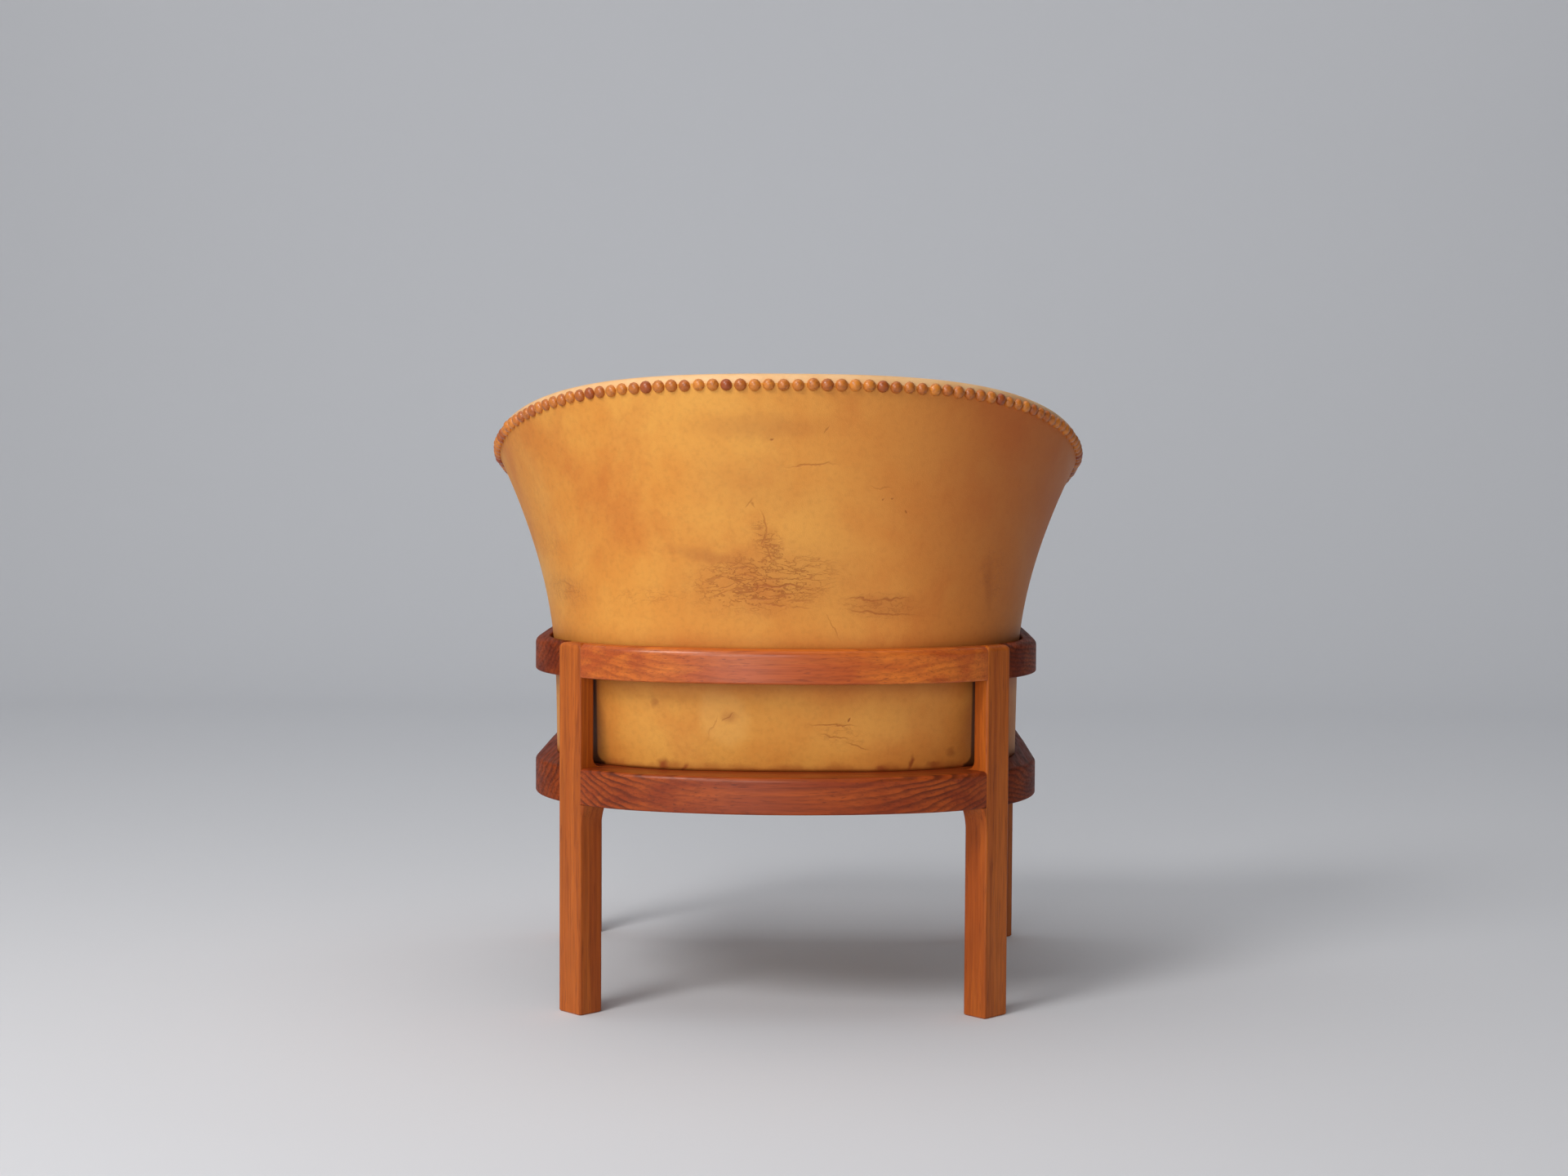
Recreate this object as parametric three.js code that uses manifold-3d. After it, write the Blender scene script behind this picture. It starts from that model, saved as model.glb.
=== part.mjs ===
// Leather tub armchair on a bowed timber frame, in millimetres, +Z up.
// The sitter faces -Y. The frame's plan curves are written by the direction that they face:
// 0 is the rear (+Y), a quarter turn is the side (+X), and half a turn is the front (-Y).
import * as THREE from 'three';
import { mergeVertices } from 'three/addons/utils/BufferGeometryUtils.js';
import Module from 'manifold-3d';

const wasm = await Module();
wasm.setup();

// Driving dimensions of the rails: plan of their outer face
const railRearY = 64.6;
const railRearRadius = 507;
const railCornerRadius = 205;
const railHalfWidth = 297.8;
const railSideRadius = 14000;
const railWidestY = -415;
const railFrontCornerRadius = 45;
const railFrontRadius = 3400;
const railFrontY = -520;

// Heights and sections of the rails
const seatRailTop = 281.5;
const seatRailHeight = 41.4;
const seatRailWidthRear = 104;
const seatRailWidthSide = 60;
const seatRailWidthFront = 40;
const seatRailRound = 5;
const armRailTop = 422.8;
const armRailHeight = 38.9;
const armRailThickness = 17;
const armRailRound = 8;
const edgeRound = 2;

// Legs, turned an eighth of a turn so that an arris points to the rear or the front
const legWidth = 38.4;
const legDepth = 32.6;
const legReliefDepth = 20.4;
const legReliefRadius = 10;
const legTopRound = 6.5;
const legEdgeRound = 2.5;
const legFootChamfer = 1.5;
const rearArrisLead = 9.2;
const kneeReach = 7.5;
const kneeHeight = 30;
const kneeFullShare = 0.4;

// Joints between rails and legs
const tenonLength = 13;
const tenonThickness = 7;
const tenonShoulder = 8;
const tenonDepthArm = 12;
const tenonDepthSeat = 16;
const tenonRoot = 6;
const clearance = 0.3;
const kerf = 0.3;

// Tub: plan of its outer leather at its foot and along its rim
const tubGapToRail = 0.5;
const footRearY = 10;
const footRearRadius = 962;
const footCornerRadius = 209;
const waistCornerRadius = 204;
const tubSideRadius = 5000;
const tubWidestY = -310;
const rimRearY = 108;
const rimHalfWidth = 357.5;
const rimWidestY = -267;
const tubFrontY = -460;

// Tub: heights of the rim and shape of the flare
const rimRearZ = 720;
const rimDrop = 99;
const rimDropLength = 700;
const rimDropShapeShare = 1.6;
const flareStartShare = 0.3;
const flareSideShare = 1.76;
const flareRearShare = 1.25;
const armFrontRadius = 95;

// Tub: layers, from the outside in
const leatherThickness = 1.6;
const shellThickness = 7;
const wallAtRim = 16;
const wallAtSeat = 24;
const lumbarSwell = 9;
const lumbarEndShare = 0.9;
const nailLineInset = 10;
const shellInset = 8.6;

// Seat inside the tub
const bearerHeight = 45;
const bearerWidth = 25;
const webbingThickness = 1.8;
const webbingWidth = 52;
const crossStrapCount = 5;
const longStrapCount = 5;
const hessianThickness = 1.2;
const padThickness = 17;
const seatFrontInset = 9;
const seatCornerRadius = 34;
const cushionSide = 62;
const cushionCrown = 24;
const cushionDrawIn = 5;
const cushionUnderCrown = 10;
const crownShares = [1, 0.94, 0.82, 0.62, 0.38, 0.14];
const crownPowerShare = 2.6;
const drawInShares = [0.35, 0, 0.35];
const cushionGap = 3;
const deckGap = 2;
const borderRound = 1.5;
const borderLap = 46;
const webLapShare = 0.4;
const webFirstShare = 0.25;
const overrun = 6;

// Counts of facets
const steps = { rearArc: 3, corner: 8, side: 3, frontCorner: 6, front: 4, round: 3 };

const colours = {
  leg: new THREE.MeshStandardMaterial({ color: 0x9c5527, roughness: 0.5, metalness: 0 }),
  rail: new THREE.MeshStandardMaterial({ color: 0x944c28, roughness: 0.45, metalness: 0 }),
  leather: new THREE.MeshStandardMaterial({ color: 0xc98a45, roughness: 0.55, metalness: 0 }),
  innerLeather: new THREE.MeshStandardMaterial({ color: 0xd09050, roughness: 0.55, metalness: 0 }),
  ply: new THREE.MeshStandardMaterial({ color: 0xcbb08a, roughness: 0.7, metalness: 0 }),
  padding: new THREE.MeshStandardMaterial({ color: 0xd8cbb2, roughness: 0.95, metalness: 0 }),
  beech: new THREE.MeshStandardMaterial({ color: 0xc9a06c, roughness: 0.65, metalness: 0 }),
  jute: new THREE.MeshStandardMaterial({ color: 0xb09468, roughness: 0.95, metalness: 0 }),
};

const chair = new THREE.Group();

// Solids: closed meshes in and out of the boolean library
function toSolid(geometry) {
  const source = geometry.index ? geometry.toNonIndexed() : geometry.clone();
  source.deleteAttribute('normal');
  source.deleteAttribute('uv');
  const merged = mergeVertices(source, 1e-4);
  const index = merged.index.array;
  const kept = [];
  for (let i = 0; i < index.length; i += 3) {
    const [a, b, c] = [index[i], index[i + 1], index[i + 2]];
    if (a !== b && b !== c && a !== c) kept.push(a, b, c);
  }
  return new wasm.Manifold(new wasm.Mesh({
    numProp: 3,
    vertProperties: new Float32Array(merged.attributes.position.array),
    triVerts: new Uint32Array(kept),
  }));
}

function toGeometry(solid) {
  const mesh = solid.getMesh();
  const geometry = new THREE.BufferGeometry();
  geometry.setAttribute('position', new THREE.BufferAttribute(new Float32Array(mesh.vertProperties), 3));
  geometry.setIndex(new THREE.BufferAttribute(new Uint32Array(mesh.triVerts), 1));
  geometry.computeVertexNormals();
  return geometry;
}

function addPiece(name, solid, material, parent = chair) {
  const mesh = new THREE.Mesh(toGeometry(solid), material);
  mesh.name = name;
  parent.add(mesh);
  return mesh;
}

function mirrored(solid) {
  return solid.mirror([1, 0, 0]);
}

function boxSolid(x0, x1, y0, y1, z0, z1) {
  const box = new THREE.BoxGeometry(x1 - x0, y1 - y0, z1 - z0);
  box.translate((x0 + x1) / 2, (y0 + y1) / 2, (z0 + z1) / 2);
  return toSolid(box);
}

// A row of sections becomes a body closed at both ends: each is a list of points, in the same order
function loft(sections) {
  const count = sections[0].length;
  const positions = sections.flat().flatMap((p) => [p.x, p.y, p.z]);
  const index = [];
  for (let s = 0; s < sections.length - 1; s += 1) {
    const here = s * count;
    const next = here + count;
    for (let k = 0; k < count; k += 1) {
      const m = (k + 1) % count;
      index.push(here + k, next + k, next + m, here + k, next + m, here + m);
    }
  }
  index.push(...capTriangles(sections[0], 0, false));
  index.push(...capTriangles(sections.at(-1), (sections.length - 1) * count, true));
  const geometry = new THREE.BufferGeometry();
  geometry.setAttribute('position', new THREE.Float32BufferAttribute(positions, 3));
  geometry.setIndex(index);
  return outward(geometry);
}

// An end is filled on its own mean plane
function capTriangles(points, first, flip) {
  const middle = points.reduce((sum, p) => sum.add(p), new THREE.Vector3()).divideScalar(points.length);
  const across = points[0].clone().sub(middle).normalize();
  const normal = new THREE.Vector3();
  points.forEach((p, k) => {
    const q = points[(k + 1) % points.length];
    normal.add(p.clone().sub(middle).cross(q.clone().sub(middle)));
  });
  normal.normalize();
  const up = normal.clone().cross(across);
  const flat = points.map((p) => {
    const d = p.clone().sub(middle);
    return new THREE.Vector2(d.dot(across), d.dot(up));
  });
  const faces = THREE.ShapeUtils.triangulateShape(flat, []);
  return faces.flatMap(([a, b, c]) => (flip ? [a, c, b] : [a, b, c]).map((v) => v + first));
}

// Faces are turned to point out by the sign of the body's volume
function outward(geometry) {
  const p = geometry.attributes.position;
  const index = geometry.index.array;
  const [a, b, c] = [new THREE.Vector3(), new THREE.Vector3(), new THREE.Vector3()];
  let volume = 0;
  for (let i = 0; i < index.length; i += 3) {
    a.fromBufferAttribute(p, index[i]);
    b.fromBufferAttribute(p, index[i + 1]);
    c.fromBufferAttribute(p, index[i + 2]);
    volume += a.dot(b.cross(c));
  }
  if (volume < 0) {
    for (let i = 0; i < index.length; i += 3) {
      [index[i + 1], index[i + 2]] = [index[i + 2], index[i + 1]];
    }
  }
  return geometry;
}

// Plan curves: arcs that meet in a common tangent
function circlesMeet(a, ra, b, rb, score) {
  const across = b.clone().sub(a);
  const length = across.length();
  const along = (ra * ra - rb * rb + length * length) / (2 * length);
  const aside = Math.sqrt(Math.max(ra * ra - along * along, 0));
  const foot = a.clone().addScaledVector(across, along / length);
  const normal = new THREE.Vector2(-across.y, across.x).divideScalar(length);
  const one = foot.clone().addScaledVector(normal, aside);
  const two = foot.clone().addScaledVector(normal, -aside);
  return score(one) > score(two) ? one : two;
}

function facing(from, to) {
  return Math.atan2(to.x - from.x, to.y - from.y);
}

function planCurve({ rearY, rearRadius, cornerRadius, halfWidth, sideRadius, widestY, front }) {
  const rear = new THREE.Vector2(0, rearY - rearRadius);
  const side = new THREE.Vector2(halfWidth - sideRadius, widestY);
  const corner = circlesMeet(rear, rearRadius - cornerRadius, side, sideRadius - cornerRadius,
    (p) => p.x + p.y);
  const arcs = [
    { centre: rear, radius: rearRadius, until: facing(rear, corner) },
    { centre: corner, radius: cornerRadius, until: facing(side, corner) },
    { centre: side, radius: sideRadius, until: Math.PI },
  ];
  if (front) {
    const fore = new THREE.Vector2(0, front.y + front.radius);
    const turn = circlesMeet(side, sideRadius - front.cornerRadius, fore, front.radius - front.cornerRadius,
      (p) => p.x - p.y);
    arcs[2].until = facing(side, turn);
    arcs.push({ centre: turn, radius: front.cornerRadius, until: facing(fore, turn) });
    arcs.push({ centre: fore, radius: front.radius, until: Math.PI });
  }
  return arcs;
}

function pointOn(arcs, angle, inset = 0) {
  const turn = Math.abs(angle);
  const arc = arcs.find((a) => turn <= a.until) ?? arcs.at(-1);
  const reach = arc.radius - inset;
  const x = arc.centre.x + reach * Math.sin(turn);
  return new THREE.Vector2(angle < 0 ? -x : x, arc.centre.y + reach * Math.cos(turn));
}

const railCurve = planCurve({
  rearY: railRearY,
  rearRadius: railRearRadius,
  cornerRadius: railCornerRadius,
  halfWidth: railHalfWidth,
  sideRadius: railSideRadius,
  widestY: railWidestY,
  front: { cornerRadius: railFrontCornerRadius, radius: railFrontRadius, y: railFrontY },
});

const quarter = Math.PI / 2;
const eighth = Math.PI / 4;

// Directions at which every plan curve is drawn, so that nested pieces share their facets
function between(from, to, count) {
  return Array.from({ length: count }, (_, k) => from + ((to - from) * k) / count);
}

const [rearTurn, cornerTurn, sideTurn, frontTurn] = railCurve.map((arc) => arc.until);
const railAngles = [
  ...between(0, rearTurn, steps.rearArc),
  ...between(rearTurn, cornerTurn, steps.corner),
  ...between(cornerTurn, quarter, steps.side),
  ...between(quarter, sideTurn, steps.side),
  ...between(sideTurn, frontTurn, steps.frontCorner),
  ...between(frontTurn, Math.PI, steps.front),
  Math.PI,
];

// Rails: a rounded section swept along the plan curve
function arcPoints(q, z, radius, from, to) {
  return Array.from({ length: steps.round + 1 }, (_, k) => {
    const a = from + ((to - from) * k) / steps.round;
    return [q + radius * Math.cos(a), z + radius * Math.sin(a)];
  });
}

function railSection(width, bottom, top, topRound) {
  return [
    [edgeRound, bottom],
    [0, bottom + edgeRound],
    ...arcPoints(topRound, top - topRound, topRound, Math.PI, quarter),
    [width - edgeRound, top],
    [width, top - edgeRound],
    [width, bottom + edgeRound],
    [width - edgeRound, bottom],
  ];
}

function sweepRail(from, to, bottom, top, topRound, widthAt) {
  const inner = [...railAngles.map((a) => -a), ...railAngles].filter((a) => a > from && a < to);
  const angles = [...new Set([from, ...inner, to])].sort((a, b) => a - b);
  const sections = angles.map((angle) => railSection(widthAt(angle), bottom, top, topRound).map(([q, z]) => {
    const p = pointOn(railCurve, angle, q);
    return new THREE.Vector3(p.x, p.y, z);
  }));
  return toSolid(loft(sections));
}

const blend = (a, b, share) => a + (b - a) * share;
const ease = (share) => {
  const s = Math.min(Math.max(share, 0), 1);
  return s * s * (3 - 2 * s);
};

// The seat rails are wide boards at the rear, where the tub's foot stands furthest in
function seatRailWidth(angle) {
  const turn = Math.abs(angle);
  if (turn > quarter) {
    const share = Math.min((turn - quarter) / (sideTurn - quarter), 1);
    return blend(seatRailWidthSide, seatRailWidthFront, share);
  }
  return blend(seatRailWidthRear, seatRailWidthSide, ease((turn - rearTurn) / (cornerTurn - rearTurn)));
}

// Legs stand where the rail's curve faces an eighth of a turn off the rear and off the front
const legPlaces = {
  rear: { angle: eighth, from: -rearArrisLead, to: legWidth - rearArrisLead },
  front: { angle: 3 * eighth, from: -legWidth / 2, to: legWidth / 2 },
};

// In a leg's own frame x runs along the rail, y points out of the chair, and y = 0 is its outer face
function roundedSection(x0, x1, y0, y1, radius) {
  const shape = new THREE.Shape();
  shape.absarc(x1 - radius, y1 - radius, radius, 0, quarter);
  shape.absarc(x0 + radius, y1 - radius, radius, quarter, Math.PI);
  shape.absarc(x0 + radius, y0 + radius, radius, Math.PI, Math.PI + quarter);
  shape.absarc(x1 - radius, y0 + radius, radius, Math.PI + quarter, 2 * Math.PI);
  return shape;
}

function upright(shape, height) {
  return toSolid(new THREE.ExtrudeGeometry(shape, { depth: height, bevelEnabled: false, curveSegments: 2 }));
}

// A profile drawn in x and z, given thickness along y
function alongY(shape, y0, y1) {
  const depth = y1 - y0;
  const geometry = new THREE.ExtrudeGeometry(shape, { depth, bevelEnabled: false, curveSegments: 4 });
  geometry.rotateX(quarter);
  geometry.translate(0, y1, 0);
  return toSolid(geometry);
}

// A profile drawn in y and z, given thickness along x
function alongX(shape, x0, x1) {
  const depth = x1 - x0;
  const geometry = new THREE.ExtrudeGeometry(shape, { depth, bevelEnabled: false, curveSegments: 4 });
  geometry.rotateX(quarter);
  geometry.rotateZ(quarter);
  geometry.translate(x0, 0, 0);
  return toSolid(geometry);
}

function crownedProfile(low, high) {
  const shape = new THREE.Shape();
  shape.moveTo(low + legFootChamfer, 0);
  shape.lineTo(high - legFootChamfer, 0);
  shape.lineTo(high, legFootChamfer);
  shape.absarc(high - legTopRound, armRailTop - legTopRound, legTopRound, 0, quarter);
  shape.absarc(low + legTopRound, armRailTop - legTopRound, legTopRound, quarter, Math.PI);
  shape.lineTo(low, legFootChamfer);
  shape.closePath();
  return shape;
}

function legDepthProfile() {
  const shape = new THREE.Shape();
  shape.moveTo(-legDepth + legFootChamfer, 0);
  shape.lineTo(-legFootChamfer, 0);
  shape.lineTo(0, legFootChamfer);
  shape.absarc(-legTopRound, armRailTop - legTopRound, legTopRound, 0, quarter);
  shape.lineTo(-legReliefDepth, armRailTop);
  shape.absarc(-legReliefDepth - legReliefRadius, seatRailTop + legReliefRadius, legReliefRadius,
    0, -quarter, true);
  shape.lineTo(-legDepth, seatRailTop);
  shape.lineTo(-legDepth, legFootChamfer);
  shape.closePath();
  return shape;
}

// Under the seat rail the leg swells in a curve towards the rail's middle
function kneeSolid(face, direction) {
  const top = seatRailTop - seatRailHeight;
  const shape = new THREE.Shape();
  shape.moveTo(face, top - kneeHeight);
  shape.quadraticCurveTo(face, top - kneeFullShare * kneeHeight, face + direction * kneeReach, top);
  shape.lineTo(face - direction * kneeReach, top);
  shape.lineTo(face - direction * kneeReach, top - kneeHeight);
  shape.closePath();
  return alongY(shape, -legDepth + legEdgeRound, -legEdgeRound);
}

function tenon(face, direction, depthAt, bottom, top, allowance) {
  const inside = face + direction * (tenonLength + allowance);
  const root = face - direction * tenonRoot;
  const half = tenonThickness / 2 + allowance;
  return boxSolid(Math.min(inside, root), Math.max(inside, root), -depthAt - half, -depthAt + half,
    bottom + tenonShoulder - allowance, top - tenonShoulder + allowance);
}

const seatBottom = seatRailTop - seatRailHeight;
const armBottom = armRailTop - armRailHeight;
const levels = {
  seat: { bottom: seatBottom, top: seatRailTop, depth: tenonDepthSeat },
  arm: { bottom: armBottom, top: armRailTop, depth: tenonDepthArm },
};

// Each joint says which face of the leg the rail's tenon enters
const joints = {
  rear: [['from', 'seat'], ['from', 'arm'], ['to', 'seat'], ['to', 'arm']],
  front: [['from', 'seat'], ['from', 'arm'], ['to', 'seat']],
};

function tenonOf(place, [face, level], allowance) {
  const direction = face === 'from' ? 1 : -1;
  const { bottom, top, depth } = levels[level];
  return tenon(place[face], direction, depth, bottom, top, allowance);
}

function legSolid(name) {
  const place = legPlaces[name];
  let leg = upright(roundedSection(place.from, place.to, -legDepth, 0, legEdgeRound), armRailTop)
    .intersect(alongY(crownedProfile(place.from, place.to), -legDepth - overrun, overrun))
    .intersect(alongX(legDepthProfile(), place.from - overrun, place.to + overrun));
  leg = leg.add(name === 'rear' ? kneeSolid(place.from, -1) : kneeSolid(place.to, 1));
  joints[name].forEach((joint) => {
    leg = leg.subtract(tenonOf(place, joint, clearance));
  });
  return leg;
}

// What a rail has to leave free round a leg
function legRoom(name) {
  const place = legPlaces[name];
  return boxSolid(place.from - clearance, place.to + clearance, -legDepth - clearance, overrun,
    seatBottom - overrun, armRailTop + overrun);
}

function legMatrix(name) {
  const { angle } = legPlaces[name];
  const p = pointOn(railCurve, angle);
  return new THREE.Matrix4().makeRotationZ(-angle).setPosition(p.x, p.y, 0);
}

function inChair(name, solid) {
  return solid.transform(legMatrix(name).elements);
}

['rear', 'front'].forEach((name) => {
  const { angle } = legPlaces[name];
  const p = pointOn(railCurve, angle);
  const left = addPiece(`${name}_leg_left`, legSolid(name), colours.leg);
  left.position.set(p.x, p.y, 0);
  left.rotation.z = -angle;
  const right = addPiece(`${name}_leg_right`, mirrored(legSolid(name)), colours.leg);
  right.position.set(-p.x, p.y, 0);
  right.rotation.z = angle;
});

// Rails are cut round the legs, mitred behind them on the leg's middle plane, and tenoned into them
const mitreOverrun = { rear: Math.asin(legWidth / railCornerRadius), front: eighth / 2 };

// Takes away what lies on one side of the mitre: -1 is the side nearer the rear
const sawReachShare = 2;
function beyondMitre(name, side) {
  const place = legPlaces[name];
  const saw = (place.from + place.to) / 2 - (side * kerf) / 2;
  const far = saw + side * sawReachShare * legWidth;
  const deep = -sawReachShare * seatRailWidthRear;
  return inChair(name, boxSolid(Math.min(saw, far), Math.max(saw, far), deep, overrun,
    seatBottom - overrun, armRailTop + overrun));
}

function sideRail(level, widthAt, topRound) {
  const { bottom, top } = levels[level];
  const from = legPlaces.rear.angle - mitreOverrun.rear;
  const to = legPlaces.front.angle + mitreOverrun.front;
  return sweepRail(from, to, bottom, top, topRound, widthAt)
    .subtract(inChair('rear', legRoom('rear')))
    .subtract(inChair('front', legRoom('front')))
    .subtract(beyondMitre('rear', -1))
    .subtract(beyondMitre('front', 1))
    .add(inChair('rear', tenonOf(legPlaces.rear, ['to', level], 0)))
    .add(inChair('front', tenonOf(legPlaces.front, ['from', level], 0)));
}

function rearRail(level, widthAt, topRound) {
  const { bottom, top } = levels[level];
  const reach = legPlaces.rear.angle + mitreOverrun.rear;
  const trims = inChair('rear', legRoom('rear')).add(beyondMitre('rear', 1));
  const tenons = inChair('rear', tenonOf(legPlaces.rear, ['from', level], 0));
  return sweepRail(-reach, reach, bottom, top, topRound, widthAt)
    .subtract(trims)
    .subtract(mirrored(trims))
    .add(tenons)
    .add(mirrored(tenons));
}

function frontRail() {
  const { bottom, top } = levels.seat;
  const trims = inChair('front', legRoom('front')).add(beyondMitre('front', -1));
  const tenons = inChair('front', tenonOf(legPlaces.front, ['to', 'seat'], 0));
  const from = legPlaces.front.angle - mitreOverrun.front;
  const half = sweepRail(from, Math.PI, bottom, top, seatRailRound, seatRailWidth)
    .subtract(trims)
    .add(tenons);
  return half.add(mirrored(half));
}

addPiece('rear_seat_rail', rearRail('seat', seatRailWidth, seatRailRound), colours.rail);
addPiece('front_seat_rail', frontRail(), colours.rail);
addPiece('rear_arm_rail', rearRail('arm', () => armRailThickness, armRailRound), colours.rail);
['seat', 'arm'].forEach((level) => {
  const rail = level === 'seat' ? sideRail('seat', seatRailWidth, seatRailRound)
    : sideRail('arm', () => armRailThickness, armRailRound);
  addPiece(`side_${level}_rail_left`, rail, colours.rail);
  addPiece(`side_${level}_rail_right`, mirrored(rail), colours.rail);
});

// Tub surface: the outer leather, by the direction it faces and its height
const footZ = seatRailTop + clearance;
const frameTop = footZ + bearerHeight;
const armReach = railRearY - armRailThickness - tubGapToRail;
const railSideBow = railSideRadius - Math.sqrt(railSideRadius ** 2 - (tubWidestY - railWidestY) ** 2);
const armHalf = railHalfWidth - railSideBow - armRailThickness - tubGapToRail;
const endAngle = quarter + Math.asin((tubWidestY - tubFrontY) / tubSideRadius);

function rimZ(angle) {
  const turn = Math.min(Math.abs(angle), quarter);
  const beyond = Math.max(Math.abs(angle) - quarter, 0) / (endAngle - quarter);
  const run = (turn * (rimRearY - rimWidestY + rimHalfWidth)) / 2 + beyond * (rimWidestY - tubFrontY);
  const share = Math.min((run / rimDropLength) ** rimDropShapeShare, 1);
  return rimRearZ - (rimDrop * (1 - Math.cos(Math.PI * share))) / 2;
}

function flare(angle, z) {
  const height = (z - footZ) / (rimZ(angle) - footZ);
  const share = Math.max((height - flareStartShare) / (1 - flareStartShare), 0);
  const rearness = Math.cos(Math.min(Math.abs(angle), quarter)) ** 2;
  return share ** blend(flareSideShare, flareRearShare, rearness);
}

// The waist is sized so that the tub just passes the arm rail's inner top edge
const rearFlare = flare(0, armRailTop);
const sideFlare = flare(endAngle, armRailTop);
const waistRearY = (armReach - rimRearY * rearFlare) / (1 - rearFlare);
const waistHalfWidth = (armHalf - rimHalfWidth * sideFlare) / (1 - sideFlare);

const tubSide = { sideRadius: tubSideRadius, widestY: tubWidestY };
const footCurve = planCurve({ rearY: footRearY, rearRadius: footRearRadius, cornerRadius: footCornerRadius,
  halfWidth: waistHalfWidth, ...tubSide });
const waistCurve = planCurve({ rearY: waistRearY, rearRadius: railRearRadius - armRailThickness,
  cornerRadius: waistCornerRadius, halfWidth: waistHalfWidth, ...tubSide });

// The rim is half an ellipse with straight sides, also drawn by the direction that it faces
function rimPoint(angle) {
  const turn = Math.abs(angle);
  const sign = angle < 0 ? -1 : 1;
  if (turn > quarter) {
    const y = blend(rimWidestY, tubFrontY, (turn - quarter) / (endAngle - quarter));
    return new THREE.Vector2(sign * rimHalfWidth, y);
  }
  const depth = rimRearY - rimWidestY;
  const across = rimHalfWidth * Math.sin(turn);
  const along = depth * Math.cos(turn);
  const size = Math.hypot(across, along);
  return new THREE.Vector2((sign * rimHalfWidth * across) / size, rimWidestY + (depth * along) / size);
}

function tubPoint(angle, z) {
  const up = Math.min((z - footZ) / (armRailTop - footZ), 1);
  const low = pointOn(footCurve, angle).lerp(pointOn(waistCurve, angle), up);
  const reach = rimPoint(angle).sub(pointOn(waistCurve, angle)).multiplyScalar(flare(angle, z));
  return new THREE.Vector3(low.x + reach.x, low.y + reach.y, z);
}

// The way in, square to the surface, from two short steps along it
const probeShare = 1e-3;
function tubInward(angle, z) {
  const turn = probeShare * quarter;
  const rise = probeShare * (rimRearZ - footZ);
  const along = tubPoint(angle + turn, z).sub(tubPoint(angle - turn, z));
  const up = tubPoint(angle, z + rise).sub(tubPoint(angle, z - rise));
  return along.cross(up).normalize();
}

function wallThickness(angle, z) {
  const top = rimZ(angle);
  const height = Math.min(Math.max((z - footZ) / (top - footZ), 0), 1);
  const rearness = Math.max(Math.cos(angle), 0) ** 2;
  const swell = lumbarSwell * rearness * Math.sin(Math.PI * Math.min(height / lumbarEndShare, 1)) ** 2;
  return blend(wallAtSeat, wallAtRim, ease(height)) + swell;
}

// A level point on the wall's inner face, moved in by a gap: the wall leans, so its thickness climbs
function innerFace(angle, z, gap) {
  let start = z;
  for (let pass = 0; pass < 4; pass += 1) {
    start = z - tubInward(angle, start).z * wallThickness(angle, start);
  }
  const inwards = tubInward(angle, start);
  const p = tubPoint(angle, start).addScaledVector(inwards, wallThickness(angle, start));
  const level = new THREE.Vector3(inwards.x, inwards.y, 0).normalize();
  return p.addScaledVector(level, gap);
}

// A panel of the tub wall between two depths. Its free edge follows the rim and runs down the arm's
// front in a round corner. A rounded panel closes there in half a circle; others end square.
const wallMidShares = [1 / 3, 2 / 3];
const bandShares = [0.76, 0.4, 0.19];
const bands = bandShares.map((share) => share * armFrontRadius);
const bandAngles = bands.map((run) => endAngle - run / tubSideRadius);
const waistCornerTurn = waistCurve[1].until;
const wallAngles = [
  ...railAngles.slice(0, steps.rearArc + steps.corner),
  ...between(waistCornerTurn, quarter, steps.side),
  quarter,
  ...bandAngles,
];

function edgeInsets(inset, radius) {
  if (radius === 0) return [inset];
  return [0, 1, 2].map((k) => inset + radius * (1 - Math.cos((k * Math.PI) / 4)));
}

function roundTheCorner(front, top, radius) {
  if (front >= radius || top >= radius) return [front, top];
  const line = Math.min(front, top);
  const run = radius - line;
  const share = (radius - Math.max(front, top)) / run;
  const turn = share * eighth;
  const near = radius - run * Math.cos(turn);
  const far = radius - run * Math.sin(turn);
  return front > top ? [far, near] : [near, far];
}

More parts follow.
